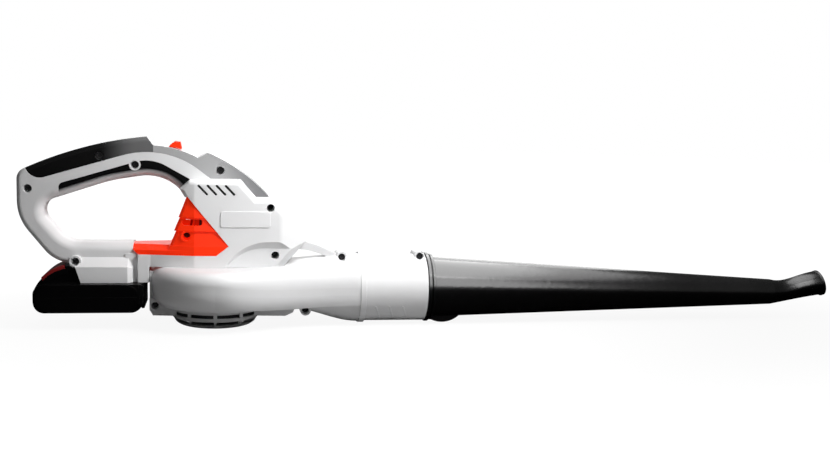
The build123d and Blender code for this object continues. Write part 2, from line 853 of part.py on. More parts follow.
with BuildPart() as scroll_left:
    add(scroll.part)
    split(bisect_by=Plane.XZ, keep=Keep.BOTTOM)
scroll_left.part.label = "scroll_left"
export_step(scroll_left.part, "parts/scroll_left.step")

# Round intake guard under the scroll
grille_top = scroll_base - fit
grille_ledge = grille_top - grille_wall
spigot_wall = intake_r - grille_wall
side_wall = grille_r - grille_wall

with BuildPart() as intake_grille:
    with BuildSketch(Plane.XZ):
        with BuildLine():
            swell = grille_r - grille_flat_r
            rise = grille_bend - grille_floor
            inner_mid = (side_wall - 0.3 * swell, grille_floor + 0.3 * rise)
            ThreePointArc(
                (grille_flat_r, 0), (grille_r - 0.3 * swell, 0.3 * grille_bend), (grille_r, grille_bend)
            )
            Polyline((grille_r, grille_bend), (grille_r, grille_top), (spigot_wall, grille_top))
            Polyline((spigot_wall, grille_top), (spigot_wall, grille_ledge), (side_wall, grille_ledge))
            Line((side_wall, grille_ledge), (side_wall, grille_bend))
            ThreePointArc((side_wall, grille_bend), inner_mid, (grille_flat_r - 1, grille_floor))
            Polyline((grille_flat_r - 1, grille_floor), (0, grille_floor), (0, 0), (grille_flat_r, 0))
        make_face()
    revolve(axis=Axis.Z)
    with BuildSketch(Plane.XY.offset(grille_ledge)):
        Circle(intake_r - fit)
        Circle(spigot_wall, mode=Mode.SUBTRACT)
    extrude(amount=5)
    with BuildSketch():
        for ring in grille_rings:
            with PolarLocations(ring, grille_bars):
                Rectangle(6.5, 2 * pi * ring / grille_bars - grille_rib)
    extrude(amount=2 * grille_floor, mode=Mode.SUBTRACT)
    for low in grille_rows:
        with BuildSketch(Plane.XY.offset(low)):
            with PolarLocations(grille_r - 4, grille_bars):
                Rectangle(14, 2 * pi * grille_r / grille_bars - grille_pillar)
        extrude(amount=grille_slot, mode=Mode.SUBTRACT)
intake_grille.part.label = "intake_grille"
export_step(intake_grille.part, "parts/intake_grille.step")

# Motor, standing on the fan axis above the scroll
can_top = motor_base + motor_len
shaft_low = fan_low + 4.0
commutator_low = can_top - 14.0

with BuildPart() as motor_mount:
    with BuildSketch(Plane.XY.offset(scroll_top)):
        Circle(30)
        Circle(bearing_r + 2.4, mode=Mode.SUBTRACT)
        with PolarLocations(motor_screw_r, 3):
            Circle(screw_r + fit, mode=Mode.SUBTRACT)
        with PolarLocations(23, 6, start_angle=30):
            Circle(3.5, mode=Mode.SUBTRACT)
    extrude(amount=motor_base - scroll_top)
motor_mount.part.label = "motor_mount"
export_step(motor_mount.part, "parts/motor_mount.step")

with BuildPart() as motor_can:
    with BuildSketch(Plane.XY.offset(motor_base)):
        Circle(motor_r)
    extrude(amount=motor_len)
    with BuildSketch(Plane.XY.offset(motor_base + 7)):
        Circle(motor_r - 1.6)
    extrude(amount=motor_len, mode=Mode.SUBTRACT)
    with BuildSketch(Plane.XY.offset(motor_base - 5)):
        Circle(bearing_r + 2)
    extrude(amount=5)
    with BuildSketch(Plane.XY.offset(motor_base)):
        Circle(bearing_r + fit)
    extrude(amount=7, mode=Mode.SUBTRACT)
    with BuildSketch(Plane.XY.offset(motor_base - 5)):
        Circle(shaft_r + 1)
        with PolarLocations(motor_screw_r, 3):
            Circle(screw_r + fit)
    extrude(amount=12, mode=Mode.SUBTRACT)
    with BuildSketch(Plane.XY.offset(motor_base + 12)):
        with PolarLocations(motor_r, 2, start_angle=90):
            Rectangle(8, 9)
    extrude(amount=5, mode=Mode.SUBTRACT)
motor_can.part.label = "motor_can"
export_step(motor_can.part, "parts/motor_can.step")

with BuildPart() as motor_screws:
    with BuildSketch(Plane.XY.offset(scroll_top)):
        with PolarLocations(motor_screw_r, 3):
            Circle(screw_head_r - 0.5)
    extrude(amount=-2.2)
    with BuildSketch(Plane.XY.offset(scroll_top)):
        with PolarLocations(motor_screw_r, 3):
            Circle(screw_r)
    extrude(amount=motor_base - scroll_top + 6)
motor_screws.part.label = "motor_screws"
export_step(motor_screws.part, "parts/motor_screws.step")

with BuildPart() as motor_magnets:
    with BuildSketch(Plane.XY.offset(motor_base + 9)):
        Circle(motor_r - 1.6 - fit)
        Circle(armature_r + 0.7, mode=Mode.SUBTRACT)
        Rectangle(60, 13, mode=Mode.SUBTRACT)
    extrude(amount=armature_len + 4)
motor_magnets.part.label = "motor_magnets"
export_step(motor_magnets.part, "parts/motor_magnets.step")

with BuildPart() as motor_end_cap:
    with BuildSketch(Plane.XY.offset(can_top)):
        Circle(motor_r)
    extrude(amount=4)
    with BuildSketch(Plane.XY.offset(can_top - 4)):
        Circle(motor_r - 1.6 - fit)
        Circle(motor_r - 4.5, mode=Mode.SUBTRACT)
    extrude(amount=4)
    with BuildSketch(Plane.XY.offset(can_top + 4)):
        Circle(bearing_r + 2)
    extrude(amount=4)
    with BuildSketch(Plane.XY.offset(can_top)):
        Circle(bearing_r + fit)
    extrude(amount=5, mode=Mode.SUBTRACT)
    with BuildSketch(Plane.XY.offset(can_top)):
        Circle(shaft_r + 1)
    extrude(amount=10, mode=Mode.SUBTRACT)
    for side in (-1, 1):
        with BuildSketch(Plane.XY.offset(commutator_low + 1)):
            with Locations((side * (commutator_r + 5.5), 0)):
                Rectangle(6, 8)
                Rectangle(6, 5 + 2 * fit, mode=Mode.SUBTRACT)
        extrude(amount=can_top - commutator_low - 1)
motor_end_cap.part.label = "motor_end_cap"
export_step(motor_end_cap.part, "parts/motor_end_cap.step")


def bearing(low):
    """Bearing ring round the shaft with its lower face at low."""
    with BuildPart() as ring:
        with BuildSketch(Plane.XY.offset(low)):
            Circle(bearing_r)
            Circle(shaft_r + 0.05, mode=Mode.SUBTRACT)
        extrude(amount=5)
        fillet(ring.edges().filter_by(GeomType.CIRCLE), radius=0.4)
    return ring


bearing_bottom = bearing(motor_base + 0.5)
bearing_bottom.part.label = "bearing_bottom"
export_step(bearing_bottom.part, "parts/bearing_bottom.step")

bearing_top = bearing(can_top - 0.5)
bearing_top.part.label = "bearing_top"
export_step(bearing_top.part, "parts/bearing_top.step")

with BuildPart() as motor_brushes:
    for side in (-1, 1):
        with BuildSketch(Plane.XY.offset(commutator_low + 2)):
            with Locations((side * (commutator_r + 0.3 + 4.2), 0)):
                Rectangle(8.4, 5)
        extrude(amount=6)
motor_brushes.part.label = "motor_brushes"
export_step(motor_brushes.part, "parts/motor_brushes.step")

with BuildPart() as motor_shaft:
    with BuildSketch(Plane.XY.offset(shaft_low)):
        Circle(shaft_r)
    extrude(amount=can_top + 7 - shaft_low)
    chamfer(motor_shaft.edges().filter_by(GeomType.CIRCLE), 0.4)
motor_shaft.part.label = "motor_shaft"
export_step(motor_shaft.part, "parts/motor_shaft.step")

with BuildPart() as armature:
    with BuildSketch(Plane.XY.offset(motor_base + 11)):
        Circle(armature_r)
        with PolarLocations(armature_r - 2.5, armature_slots):
            Rectangle(7, 2.4, mode=Mode.SUBTRACT)
        Circle(shaft_r + fit / 2, mode=Mode.SUBTRACT)
    extrude(amount=armature_len)
armature.part.label = "armature"
export_step(armature.part, "parts/armature.step")

with BuildPart() as commutator:
    with BuildSketch(Plane.XY.offset(commutator_low)):
        Circle(commutator_r)
        with PolarLocations(commutator_r, armature_slots):
            Rectangle(2, 0.6, mode=Mode.SUBTRACT)
        Circle(shaft_r + fit / 2, mode=Mode.SUBTRACT)
    extrude(amount=10)
commutator.part.label = "commutator"
export_step(commutator.part, "parts/commutator.step")

# Fan wheel: a back plate with swept blades that draw from below
with BuildPart() as impeller:
    with BuildSketch(Plane.XY.offset(fan_top - 2.5)):
        Circle(fan_r)
    extrude(amount=2.5)
    with BuildSketch(Plane.XY.offset(shaft_low + 5.2)):
        Circle(9)
    extrude(amount=fan_top - shaft_low - 3)
    with BuildSketch(Plane.XY.offset(fan_low)):
        with BuildLine():
            for blade in range(blade_count):
                turn = 360 / blade_count * blade
                ends = [
                    (reach * cos(radians(turn + lag)), reach * sin(radians(turn + lag)))
                    for reach, lag in ((fan_r * 0.42, 0), (fan_r * 0.74, -14), (fan_r - 0.5, -36))
                ]
                ThreePointArc(*ends)
        trace(line_width=1.8)
    extrude(amount=fan_top - 2 - fan_low)
    with BuildSketch(Plane.XY.offset(fan_low - 1)):
        Circle(shaft_r + fit / 2)
    extrude(amount=60, mode=Mode.SUBTRACT)
impeller.part.label = "impeller"
export_step(impeller.part, "parts/impeller.step")

with BuildPart() as impeller_nut:
    with BuildSketch(Plane.XY.offset(shaft_low + 1)):
        RegularPolygon(4.6, 6)
        Circle(shaft_r + fit / 2, mode=Mode.SUBTRACT)
    extrude(amount=4)
impeller_nut.part.label = "impeller_nut"
export_step(impeller_nut.part, "parts/impeller_nut.step")


# Nozzle: rings at the base, a plain taper, and a bend that turns up to the mouth
def nozzle_form(inset):
    """Outer or inner form of the nozzle, drawn in by inset."""
    with BuildPart() as form:
        for x, z, radius in ((nozzle_start, outlet_z, tube_r0), (tube_bend, outlet_z - tube_drop, tube_r1)):
            with BuildSketch(Plane.YZ.offset(x)):
                with Locations((0, z)):
                    Circle(radius - inset)
        loft(ruled=True)
        for x, z, radius, tilt in tip_rings:
            turn = radians(tilt)
            ring = Plane(origin=(x, 0, z), x_dir=(0, 1, 0), z_dir=(cos(turn), 0, sin(turn)))
            with BuildSketch(ring):
                Circle(radius - inset)
        loft()
    return form.part


with BuildPart() as nozzle_tube:
    add(nozzle_form(0))
    for x, radius, width in ((nozzle_start, flange_r - 0.5, 3), (nozzle_start + 5, flange_r - 2, 2.5)):
        with BuildSketch(Plane.YZ.offset(x)):
            with Locations((0, outlet_z)):
                Circle(radius)
        extrude(amount=width)
    with BuildSketch(Plane.XZ):
        with BuildLine():
            ThreePointArc((nozzle_start + 3, 6), (nozzle_start + 18, boss_low), (nozzle_start + 40, 9))
            Polyline((nozzle_start + 40, 9), (nozzle_start + 3, 9), (nozzle_start + 3, 6))
        make_face()
    extrude(amount=10, both=True)
    mouth = Plane(origin=(tip_rings[-1][0], 0, tip_rings[-1][1]), x_dir=(0, 1, 0), z_dir=mouth_dir)
    with BuildSketch(mouth):
        Circle(tip_rings[-1][2] + 0.9)
    extrude(amount=-2.4)
    add(nozzle_form(tube_wall), mode=Mode.SUBTRACT)
    with BuildSketch(Plane.YZ.offset(nozzle_start - 1)):
        with Locations((0, outlet_z)):
            Circle(spigot_r + slack)
    extrude(amount=spigot_end - nozzle_start + 1 + slack, mode=Mode.SUBTRACT)
nozzle_tube.part.label = "nozzle_tube"
export_step(nozzle_tube.part, "parts/nozzle_tube.step")

# Battery pack: a case in two shells with cells in a row, and a rail that slides into the dock
pack_mid = (pack_rear + pack_front) / 2
pack_len = pack_front - pack_rear
crest = ThreePointArc((-182.4, 38), (-170.5, 55.2), (-147.5, 64.8))
crest_at = (crest.arc_center.X, crest.arc_center.Y)
button_start = degrees(atan2(63.6 - crest_at[1], -152.0 - crest_at[0]))
button_end = degrees(atan2(52.2 - crest_at[1], -174.5 - crest_at[0]))
press_angle = (button_start + button_end) / 2
button_reach = crest.radius * sin(radians(button_end - button_start) / 2)


def pack_form(inset):
    """Rounded block of the pack, drawn in by inset."""
    with BuildPart() as form:
        with BuildSketch(Plane.XY.offset(pack_low - 5)):
            with Locations((pack_mid, 0)):
                RectangleRounded(pack_len - 2 * inset, 2 * (pack_half - inset), 10 - inset)
        extrude(amount=60)
        with BuildSketch(Plane.XZ):
            with Locations((pack_mid, (pack_low + pack_top) / 2)):
                Rectangle(pack_len - 2 * inset, pack_top - pack_low - 2 * inset)
            rear_corners = vertices().group_by(Axis.X)[0]
            front_corners = vertices().group_by(Axis.X)[-1].sort_by(Axis.Y)
            fillet(rear_corners + front_corners[:1], pack_round - inset)
            fillet(vertices().group_by(Axis.X)[-1].sort_by(Axis.Y)[-1], pack_front_round - inset)
        extrude(amount=pack_half + 1, both=True, mode=Mode.INTERSECT)
    return form.part


def crest_sector(inner, outer, reach, half):
    """Piece of the arched rear top of the pack between two radii, with ends that run along the press."""
    low_turn = degrees(asin(reach / inner))
    high_turn = degrees(asin(reach / outer))
    with BuildPart() as sector:
        with BuildSketch(Plane.XZ):
            with BuildLine():
                low_arc = CenterArc(crest_at, inner, press_angle - low_turn, 2 * low_turn)
                high_arc = CenterArc(crest_at, outer, press_angle - high_turn, 2 * high_turn)
                Line(low_arc @ 0, high_arc @ 0)
                Line(low_arc @ 1, high_arc @ 1)
            make_face()
        extrude(amount=half, both=True)
    return sector.part


with BuildPart() as pack_shell:
    add(pack_form(0))
    with BuildSketch(Plane.XZ):
        with Locations((pack_mid, (pack_low + pack_top) / 2)):
            SlotOverall(102, pack_top - pack_low - 0.6)
    extrude(amount=pack_half + 0.5, both=True)
    add(pack_form(wall), mode=Mode.SUBTRACT)

with BuildPart() as battery_case_lower:
    add(pack_shell.part)
    split(bisect_by=Plane.XY.offset(pack_seam), keep=Keep.BOTTOM)
battery_case_lower.part.label = "battery_case_lower"
export_step(battery_case_lower.part, "parts/battery_case_lower.step")

rail_front = bay_end - 0.6
slot_floor = rail_low + 1.3
with BuildPart() as battery_case_upper:
    add(pack_shell.part)
    split(bisect_by=Plane.XY.offset(pack_seam + fit / 2), keep=Keep.TOP)
    with BuildSketch(Plane.XZ):
        with BuildLine():
            crest_edge = ThreePointArc(crest @ 0, crest @ 0.5, crest @ 1)
            Polyline(crest_edge @ 1, (-141.7, 61.9), (-136.5, pack_top - 1.5), (-174, pack_top - 1.5))
            Polyline((-174, pack_top - 1.5), (-174, (crest @ 0).Y), crest_edge @ 0)
        make_face()
    extrude(amount=wedge_half, both=True)
    add(pack_form(wall), mode=Mode.SUBTRACT)
    with BuildSketch(Plane.YZ.offset(rail_front)):
        with Locations((0, (rail_low + pack_top) / 2)):
            Rectangle(2 * (rail_neck - 0.5), rail_low - pack_top + 2)
        with Locations((0, (rail_low + rail_top) / 2)):
            Rectangle(2 * (rail_half - 0.5), rail_top - rail_low - 1)
    extrude(amount=-(rail_front + 141))
    with BuildSketch(Plane.XY.offset(slot_floor)):
        with Locations((rail_front - 8.7, blade_y), (rail_front - 8.7, -blade_y)):
            Rectangle(17.5, 4.4)
    extrude(amount=rail_top - slot_floor - 1.5, mode=Mode.SUBTRACT)
    pocket_floor = crest.radius - button_wall - button_press - 0.7
    pocket = crest_sector(pocket_floor, crest.radius + 12, button_reach + slack, wedge_half + slack)
    add(pocket, mode=Mode.SUBTRACT)
    spring_out = (cos(radians(press_angle)), 0, sin(radians(press_angle)))
    spring_base = pocket_floor - 6.4
    spring_plane = Plane(
        origin=(crest_at[0] + spring_base * spring_out[0], 0, crest_at[1] + spring_base * spring_out[2]),
        x_dir=(0, 1, 0),
        z_dir=spring_out,
    )
    with BuildSketch(spring_plane):
        Circle(4)
    extrude(amount=10, mode=Mode.SUBTRACT)
battery_case_upper.part.label = "battery_case_upper"
export_step(battery_case_upper.part, "parts/battery_case_upper.step")

with BuildPart() as release_button:
    add(crest_sector(crest.radius - button_wall, crest.radius + 1, button_reach, wedge_half))
    rims = release_button.edges().filter_by(GeomType.CIRCLE).sort_by(SortBy.RADIUS)
    fillet(rims[-2:], radius=0.8)
release_button.part.label = "release_button"
export_step(release_button.part, "parts/release_button.step")

with BuildPart() as release_spring:
    with BuildLine():
        coil = Helix(
            pitch=1.45, height=8.7, radius=3, center=spring_plane.offset(0.4).origin, direction=spring_out
        )
    with BuildSketch(Plane(origin=coil @ 0, z_dir=coil % 0)):
        Circle(0.3)
    sweep(is_frenet=True)
release_spring.part.label = "release_spring"
export_step(release_spring.part, "parts/release_spring.step")

cell_z = pack_low + wall + 0.3 + cell_r
cell_pitch = 2 * cell_r + 1.4
cell_xs = [pack_mid + cell_pitch * (index - (cell_count - 1) / 2) for index in range(cell_count)]
cell_places = [(x, cell_z) for x in cell_xs]
with BuildPart() as battery_cells:
    add(cross_pins(cell_places, cell_r, -cell_len / 2, cell_len / 2))
    add(cross_pins(cell_places, 3, -cell_len / 2 - 0.4, cell_len / 2))
battery_cells.part.label = "battery_cells"
export_step(battery_cells.part, "parts/battery_cells.step")

with BuildPart() as cell_holder:
    for side in (-1, 1):
        with BuildSketch(Plane.XZ.offset(side * 18)):
            with Locations((pack_mid, cell_z + holder_rise)):
                Rectangle(pack_len - 9.6, cell_r)
            with Locations(*cell_places):
                Circle(cell_r + fit, mode=Mode.SUBTRACT)
        extrude(amount=side * 9)
cell_holder.part.label = "cell_holder"
export_step(cell_holder.part, "parts/cell_holder.step")

with BuildPart() as cell_straps:
    for side, pairs in ((-1, (0, 2)), (1, (1, 3))):
        for first in pairs:
            with BuildSketch(Plane.XZ.offset(side * (cell_len / 2 + 0.5))):
                with Locations(((cell_xs[first] + cell_xs[first + 1]) / 2, cell_z)):
                    RectangleRounded(cell_pitch + 8, 7, 2)
            extrude(amount=side * 0.3)
cell_straps.part.label = "cell_straps"
export_step(cell_straps.part, "parts/cell_straps.step")

with BuildPart() as battery_board:
    with BuildSketch(Plane.XY.offset(cell_z + cell_r + 1)):
        with Locations((pack_mid + 8, 0)):
            RectangleRounded(60, 34, 2)
    extrude(amount=1.6)
    with BuildSketch(Plane.XY.offset(cell_z + cell_r + 2.6)):
        with Locations((pack_mid - 8, 6), (pack_mid + 4, -7), (pack_mid + 18, 5)):
            Rectangle(7, 5)
    extrude(amount=1.2)
battery_board.part.label = "battery_board"
export_step(battery_board.part, "parts/battery_board.step")

with BuildPart() as battery_contacts:
    for y in (-blade_y, blade_y):
        for offset_y in (-1.1, 1.1):
            with BuildSketch(Plane.XY.offset(slot_floor)):
                with Locations((rail_front - 9, y + offset_y)):
                    Rectangle(14, 0.6)
            extrude(amount=6)
battery_contacts.part.label = "battery_contacts"
export_step(battery_contacts.part, "parts/battery_contacts.step")

# Terminal block at the end of the dock, with the blades that the pack slides on to
with BuildPart() as terminal_block:
    with BuildSketch(Plane.YZ.offset(bay_end)):
        with Locations((0, (rail_low + rail_top) / 2)):
            Rectangle(2 * block_half, block_height)
        with Locations((blade_y, slot_floor + 3.2), (-blade_y, slot_floor + 3.2)):
            Rectangle(0.8 + 2 * fit, 5 + 2 * fit, mode=Mode.SUBTRACT)
    extrude(amount=block_len)
terminal_block.part.label = "terminal_block"
export_step(terminal_block.part, "parts/terminal_block.step")

with BuildPart() as terminal_blades:
    with BuildSketch(Plane.YZ.offset(bay_end + block_len)):
        with Locations((blade_y, slot_floor + 3.2), (-blade_y, slot_floor + 3.2)):
            Rectangle(0.8, 5)
    extrude(amount=-block_len - 14)
terminal_blades.part.label = "terminal_blades"
export_step(terminal_blades.part, "parts/terminal_blades.step")


# Leads inside the housing
def lead(route):
    """Round lead through the points of route, bent in arcs."""
    with BuildPart() as wire:
        with BuildLine() as path:
            FilletPolyline(*route, radius=5)
        with BuildSketch(Plane(origin=path.line @ 0, z_dir=path.line % 0)):
            Circle(lead_r)
        sweep()
    return wire


block_front = bay_end + block_len + fit
lead_z = (rail_low + rail_top) / 2
lead_supply = lead(
    [
        (block_front, 4, lead_z),
        (-70.5, 4, lead_z),
        (-70.5, 6, 71),
        (-44, 17, 73),
        (-27, 21, 100),
        (-21, 17, 138),
        (-24, 7, 158),
        (-36.5, 4, 161),
        (-36.5, 4, 165),
    ]
)
lead_supply.part.label = "lead_supply"
export_step(lead_supply.part, "parts/lead_supply.step")

lead_motor = lead(
    [
        (block_front, -4, lead_z),
        (-70.5, -4, lead_z),
        (-70.5, -6, 71),
        (-44, -17, 71),
        (-17, -27, 80),
        (-15, -27, 128),
        (-13, -19, 144),
        (-10, -9, 144),
        (-10, -9, can_top + 4 + fit),
    ]
)
lead_motor.part.label = "lead_motor"
export_step(lead_motor.part, "parts/lead_motor.step")

# Screws of the housing and of the scroll
with BuildPart() as housing_screws:
    add(screws(plastic_screws + vent_screw, deep_seat, screw_len))
    add(screws(trim_screws, flush_seat, screw_len))
housing_screws.part.label = "housing_screws"
export_step(housing_screws.part, "parts/housing_screws.step")

with BuildPart() as scroll_screws:
    add(screws(scroll_low, low_seat, screw_len))
    add(screws(scroll_high, high_seat, screw_len))
scroll_screws.part.label = "scroll_screws"
export_step(scroll_screws.part, "parts/scroll_screws.step")
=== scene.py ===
"""Looks of a cordless leaf blower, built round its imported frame.

The frame gives every solid in metres: X runs forward to the nozzle, Z up, and Y = 0 is the plane where
the halves meet. Finishes go on the solids, and the small mouldings that the solids leave out are added.
"""

from __future__ import annotations

import logging
from dataclasses import dataclass
from enum import Enum
from math import cos, pi, radians, sin

import bmesh
import bpy
from mathutils import Matrix, Vector
from mathutils.bvhtree import BVHTree

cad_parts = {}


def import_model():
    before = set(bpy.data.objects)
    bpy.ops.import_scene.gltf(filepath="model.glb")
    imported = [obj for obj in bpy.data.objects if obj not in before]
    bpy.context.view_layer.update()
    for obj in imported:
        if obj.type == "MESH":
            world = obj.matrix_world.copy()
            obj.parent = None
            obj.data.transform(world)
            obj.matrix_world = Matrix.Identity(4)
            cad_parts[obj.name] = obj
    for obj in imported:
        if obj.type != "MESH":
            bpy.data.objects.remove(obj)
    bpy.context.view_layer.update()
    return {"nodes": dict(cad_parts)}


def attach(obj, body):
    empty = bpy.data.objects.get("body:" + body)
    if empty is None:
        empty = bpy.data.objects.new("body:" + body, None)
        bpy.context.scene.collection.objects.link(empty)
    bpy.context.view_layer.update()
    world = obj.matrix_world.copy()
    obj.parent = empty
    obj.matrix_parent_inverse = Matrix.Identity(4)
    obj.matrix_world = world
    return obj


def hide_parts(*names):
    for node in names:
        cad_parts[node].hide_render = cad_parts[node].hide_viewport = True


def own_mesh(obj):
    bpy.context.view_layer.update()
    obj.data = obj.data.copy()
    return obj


LOG = logging.getLogger("blower")
MM = 0.001
Colour = tuple[float, float, float]
Point = tuple[float, float, float]


class Body(Enum):
    """Bodies of the frame that added pieces ride on."""

    HOUSING = "housing"
    SWITCH = "switch"
    BATTERY = "battery"


class Grain(Enum):
    """Kinds of moulded surface."""

    SPARK = "spark"
    SOFT = "soft"
    SATIN = "satin"
    BRUSHED = "brushed"


class Reach(Enum):
    """Light that a lamp takes part in."""

    MATT = "matt"
    GLOSS = "gloss"


class Guide(Enum):
    """What a painted change of light or shade on a moulding follows: its length, or the slope of its
    surface.
    """

    LENGTH = "X"
    SLOPE = "Z"


# Finishes

# Waves per metre of each grain, and octaves of its noise
GRAIN_WAVES: dict[Grain, float] = {
    Grain.SPARK: 1600.0,
    Grain.SOFT: 900.0,
    Grain.SATIN: 500.0,
    Grain.BRUSHED: 400.0,
}
GRAIN_DETAIL = 2.0
BRUSH_STRETCH = (1.0, 1.0, 12.0)

# Broad patches: waves per metre, octaves, and how far roughness swings with them
PATCH_WAVES = 14.0
PATCH_DETAIL = 3.0
ROUGH_SWING = 0.06
ROUGH_LEAST = 0.02

# Edges: samples of the rounding, the agreement of true and rounded normal on a flat and on a full edge,
# and how much lighter a worn edge is
EDGE_SAMPLES = 4
EDGE_FLAT = 0.995
EDGE_FULL = 0.85
WORN_GAIN = 1.6
WORN_LIFT = 0.05

# Parting line: half width, where it has faded out, its weight in the middle and its share of the colour
GROOVE_HALF = 0.1 * MM
GROOVE_FADE = 0.22 * MM
GROOVE_WEIGHT = 0.75
GROOVE_TONE = 0.15


def scaled(colour: Colour, gain: float, lift: float = 0.0) -> Colour:
    """Make a colour lighter or darker, up to white.

    Args:
        colour: Colour, linear.
        gain: Factor of its brightness.
        lift: Brightness that is added.

    Returns:
        The new colour.
    """
    red, green, blue = (min(part * gain + lift, 1.0) for part in colour)
    return red, green, blue


@dataclass(frozen=True)
class PaintedLightTurn:
    """A painted change of light or shade: a second colour that a moulding turns to.

    Attributes:
        colour: Colour at the far end, linear.
        start: Where the change starts: X in metres, or the Z of the surface normal.
        end: Where it is done.
        guide: What the change follows.
    """

    colour: Colour
    start: float
    end: float
    guide: Guide = Guide.LENGTH


@dataclass(frozen=True)
class Finish:
    """A moulded or metal surface with grain, mottle and softened, slightly worn edges.

    Attributes:
        name: Name of the material.
        colour: Base colour, linear.
        roughness: Middle roughness.
        grain: Kind of moulded surface.
        depth: Depth of the grain in metres.
        mottle: Share by which broad patches differ in brightness.
        edge: Radius of the softened edges in metres.
        wear: Share by which edges turn lighter.
        specular: Level of the dielectric reflection.
        metallic: One for bare metal.
        parting: Whether the line where two halves meet shows as a dark groove.
        painted_glow: Share of its own colour that it emits as painted glow, though it is no lamp, which
            keeps a vivid colour from looking dull.
        turn: Painted light or shade, as a second colour along the length or with the slope, if there is
            one.
    """

    name: str
    colour: Colour
    roughness: float
    grain: Grain = Grain.SPARK
    depth: float = 0.02 * MM
    mottle: float = 0.04
    edge: float = 0.5 * MM
    wear: float = 0.1
    specular: float = 0.5
    metallic: float = 0.0
    parting: bool = False
    painted_glow: float = 0.0
    turn: PaintedLightTurn | None = None

    def material(self) -> bpy.types.Material:
        """Build the node material once and hand back the same one later.

        Returns:
            The material of this finish.
        """
        found = bpy.data.materials.get(self.name)
        if found:
            return found
        made = bpy.data.materials.new(self.name)
        made.use_nodes = True
        self._wire(made.node_tree)
        made.diffuse_color = (*self.colour, 1.0)
        return made

    def _wire(self, tree: bpy.types.NodeTree) -> None:
        """Wire colour, roughness and relief to the surface shader.

        Args:
            tree: Node tree of a new material, with its first shader in place.
        """
        shader = tree.nodes["Principled BSDF"]
        shader.inputs["Metallic"].default_value = self.metallic
        shader.inputs["Specular IOR Level"].default_value = self.specular
        place = tree.nodes.new("ShaderNodeTexCoord").outputs["Object"]
        rounded = tree.nodes.new("ShaderNodeBevel")
        rounded.samples = EDGE_SAMPLES
        rounded.inputs["Radius"].default_value = self.edge
        patches = self._noise(tree, place, PATCH_WAVES, PATCH_DETAIL)
        colour = self._shade(tree, patches, self._edge_mask(tree, rounded.outputs["Normal"]))
        # Painted light or shade: a second colour along the piece or with its slope.
        if self.turn:
            colour = self._painted_light(tree, place, colour, self.turn)
        if self.parting:
            colour = self._groove(tree, place, colour)
        tree.links.new(colour, shader.inputs["Base Color"])
        # Painted glow: the surface emits a share of its own colour, though it is no lamp.
        tree.links.new(colour, shader.inputs["Emission Color"])
        shader.inputs["Emission Strength"].default_value = self.painted_glow
        rough = tree.nodes.new("ShaderNodeMapRange")
        rough.inputs["To Min"].default_value = max(self.roughness - ROUGH_SWING, ROUGH_LEAST)
        rough.inputs["To Max"].default_value = self.roughness + ROUGH_SWING
        tree.links.new(patches, rough.inputs["Value"])
        tree.links.new(rough.outputs["Result"], shader.inputs["Roughness"])
        bump = tree.nodes.new("ShaderNodeBump")
        bump.inputs["Strength"].default_value = 1.0
        bump.inputs["Distance"].default_value = self.depth
        tree.links.new(self._fine_grain(tree, place), bump.inputs["Height"])
        tree.links.new(rounded.outputs["Normal"], bump.inputs["Normal"])
        tree.links.new(bump.outputs["Normal"], shader.inputs["Normal"])

    @staticmethod
    def _noise(
        tree: bpy.types.NodeTree, place: bpy.types.NodeSocket, scale: float, detail: float
    ) -> bpy.types.NodeSocket:
        """Noise at a scale.

        Args:
            tree: Node tree to add to.
            place: Coordinates to read.
            scale: Waves per metre.
            detail: Octaves.

        Returns:
            The noise value from 0 to 1.
        """
        noise = tree.nodes.new("ShaderNodeTexNoise")
        noise.inputs["Scale"].default_value = scale
        noise.inputs["Detail"].default_value = detail
        tree.links.new(place, noise.inputs["Vector"])
        return noise.outputs["Fac"]

    def _fine_grain(self, tree: bpy.types.NodeTree, place: bpy.types.NodeSocket) -> bpy.types.NodeSocket:
        """Height of the moulded grain.

        Args:
            tree: Node tree to add to.
            place: Coordinates to read.

        Returns:
            The height value.
        """
        waves = GRAIN_WAVES[self.grain]
        if self.grain is Grain.SOFT:
            cells = tree.nodes.new("ShaderNodeTexVoronoi")
            cells.inputs["Scale"].default_value = waves
            tree.links.new(place, cells.inputs["Vector"])
            return cells.outputs["Distance"]
        if self.grain is Grain.BRUSHED:
            stretch = tree.nodes.new("ShaderNodeMapping")
            stretch.inputs["Scale"].default_value = BRUSH_STRETCH
            tree.links.new(place, stretch.inputs["Vector"])
            place = stretch.outputs["Vector"]
        return self._noise(tree, place, waves, GRAIN_DETAIL)

    @staticmethod
    def _edge_mask(tree: bpy.types.NodeTree, normal: bpy.types.NodeSocket) -> bpy.types.NodeSocket:
        """Mask that rises where the rounded normal leaves the true one.

        Args:
            tree: Node tree to add to.
            normal: Rounded normal.

        Returns:
            The mask from 0 on flats to 1 on edges.
        """
        flat = tree.nodes.new("ShaderNodeNewGeometry").outputs["Normal"]
        along = tree.nodes.new("ShaderNodeVectorMath")
        along.operation = "DOT_PRODUCT"
        tree.links.new(flat, along.inputs[0])
        tree.links.new(normal, along.inputs[1])
        mask = tree.nodes.new("ShaderNodeMapRange")
        mask.inputs["From Min"].default_value = EDGE_FLAT
        mask.inputs["From Max"].default_value = EDGE_FULL
        tree.links.new(along.outputs["Value"], mask.inputs["Value"])
        return mask.outputs["Result"]

    @staticmethod
    def _blend(
        tree: bpy.types.NodeTree, share: bpy.types.NodeSocket, colour: bpy.types.NodeSocket, other: Colour
    ) -> bpy.types.NodeSocket:
        """Colour that gives way to a plain second one.

        Args:
            tree: Node tree to add to.
            share: Share of the second colour.
            colour: Colour where the share is nought.
            other: Second colour, linear.

        Returns:
            The mixed colour.
        """
        mix = tree.nodes.new("ShaderNodeMix")
        mix.data_type = "RGBA"
        mix.inputs["B"].default_value = (*other, 1)
        tree.links.new(share, mix.inputs["Factor"])
        tree.links.new(colour, mix.inputs["A"])
        return mix.outputs["Result"]

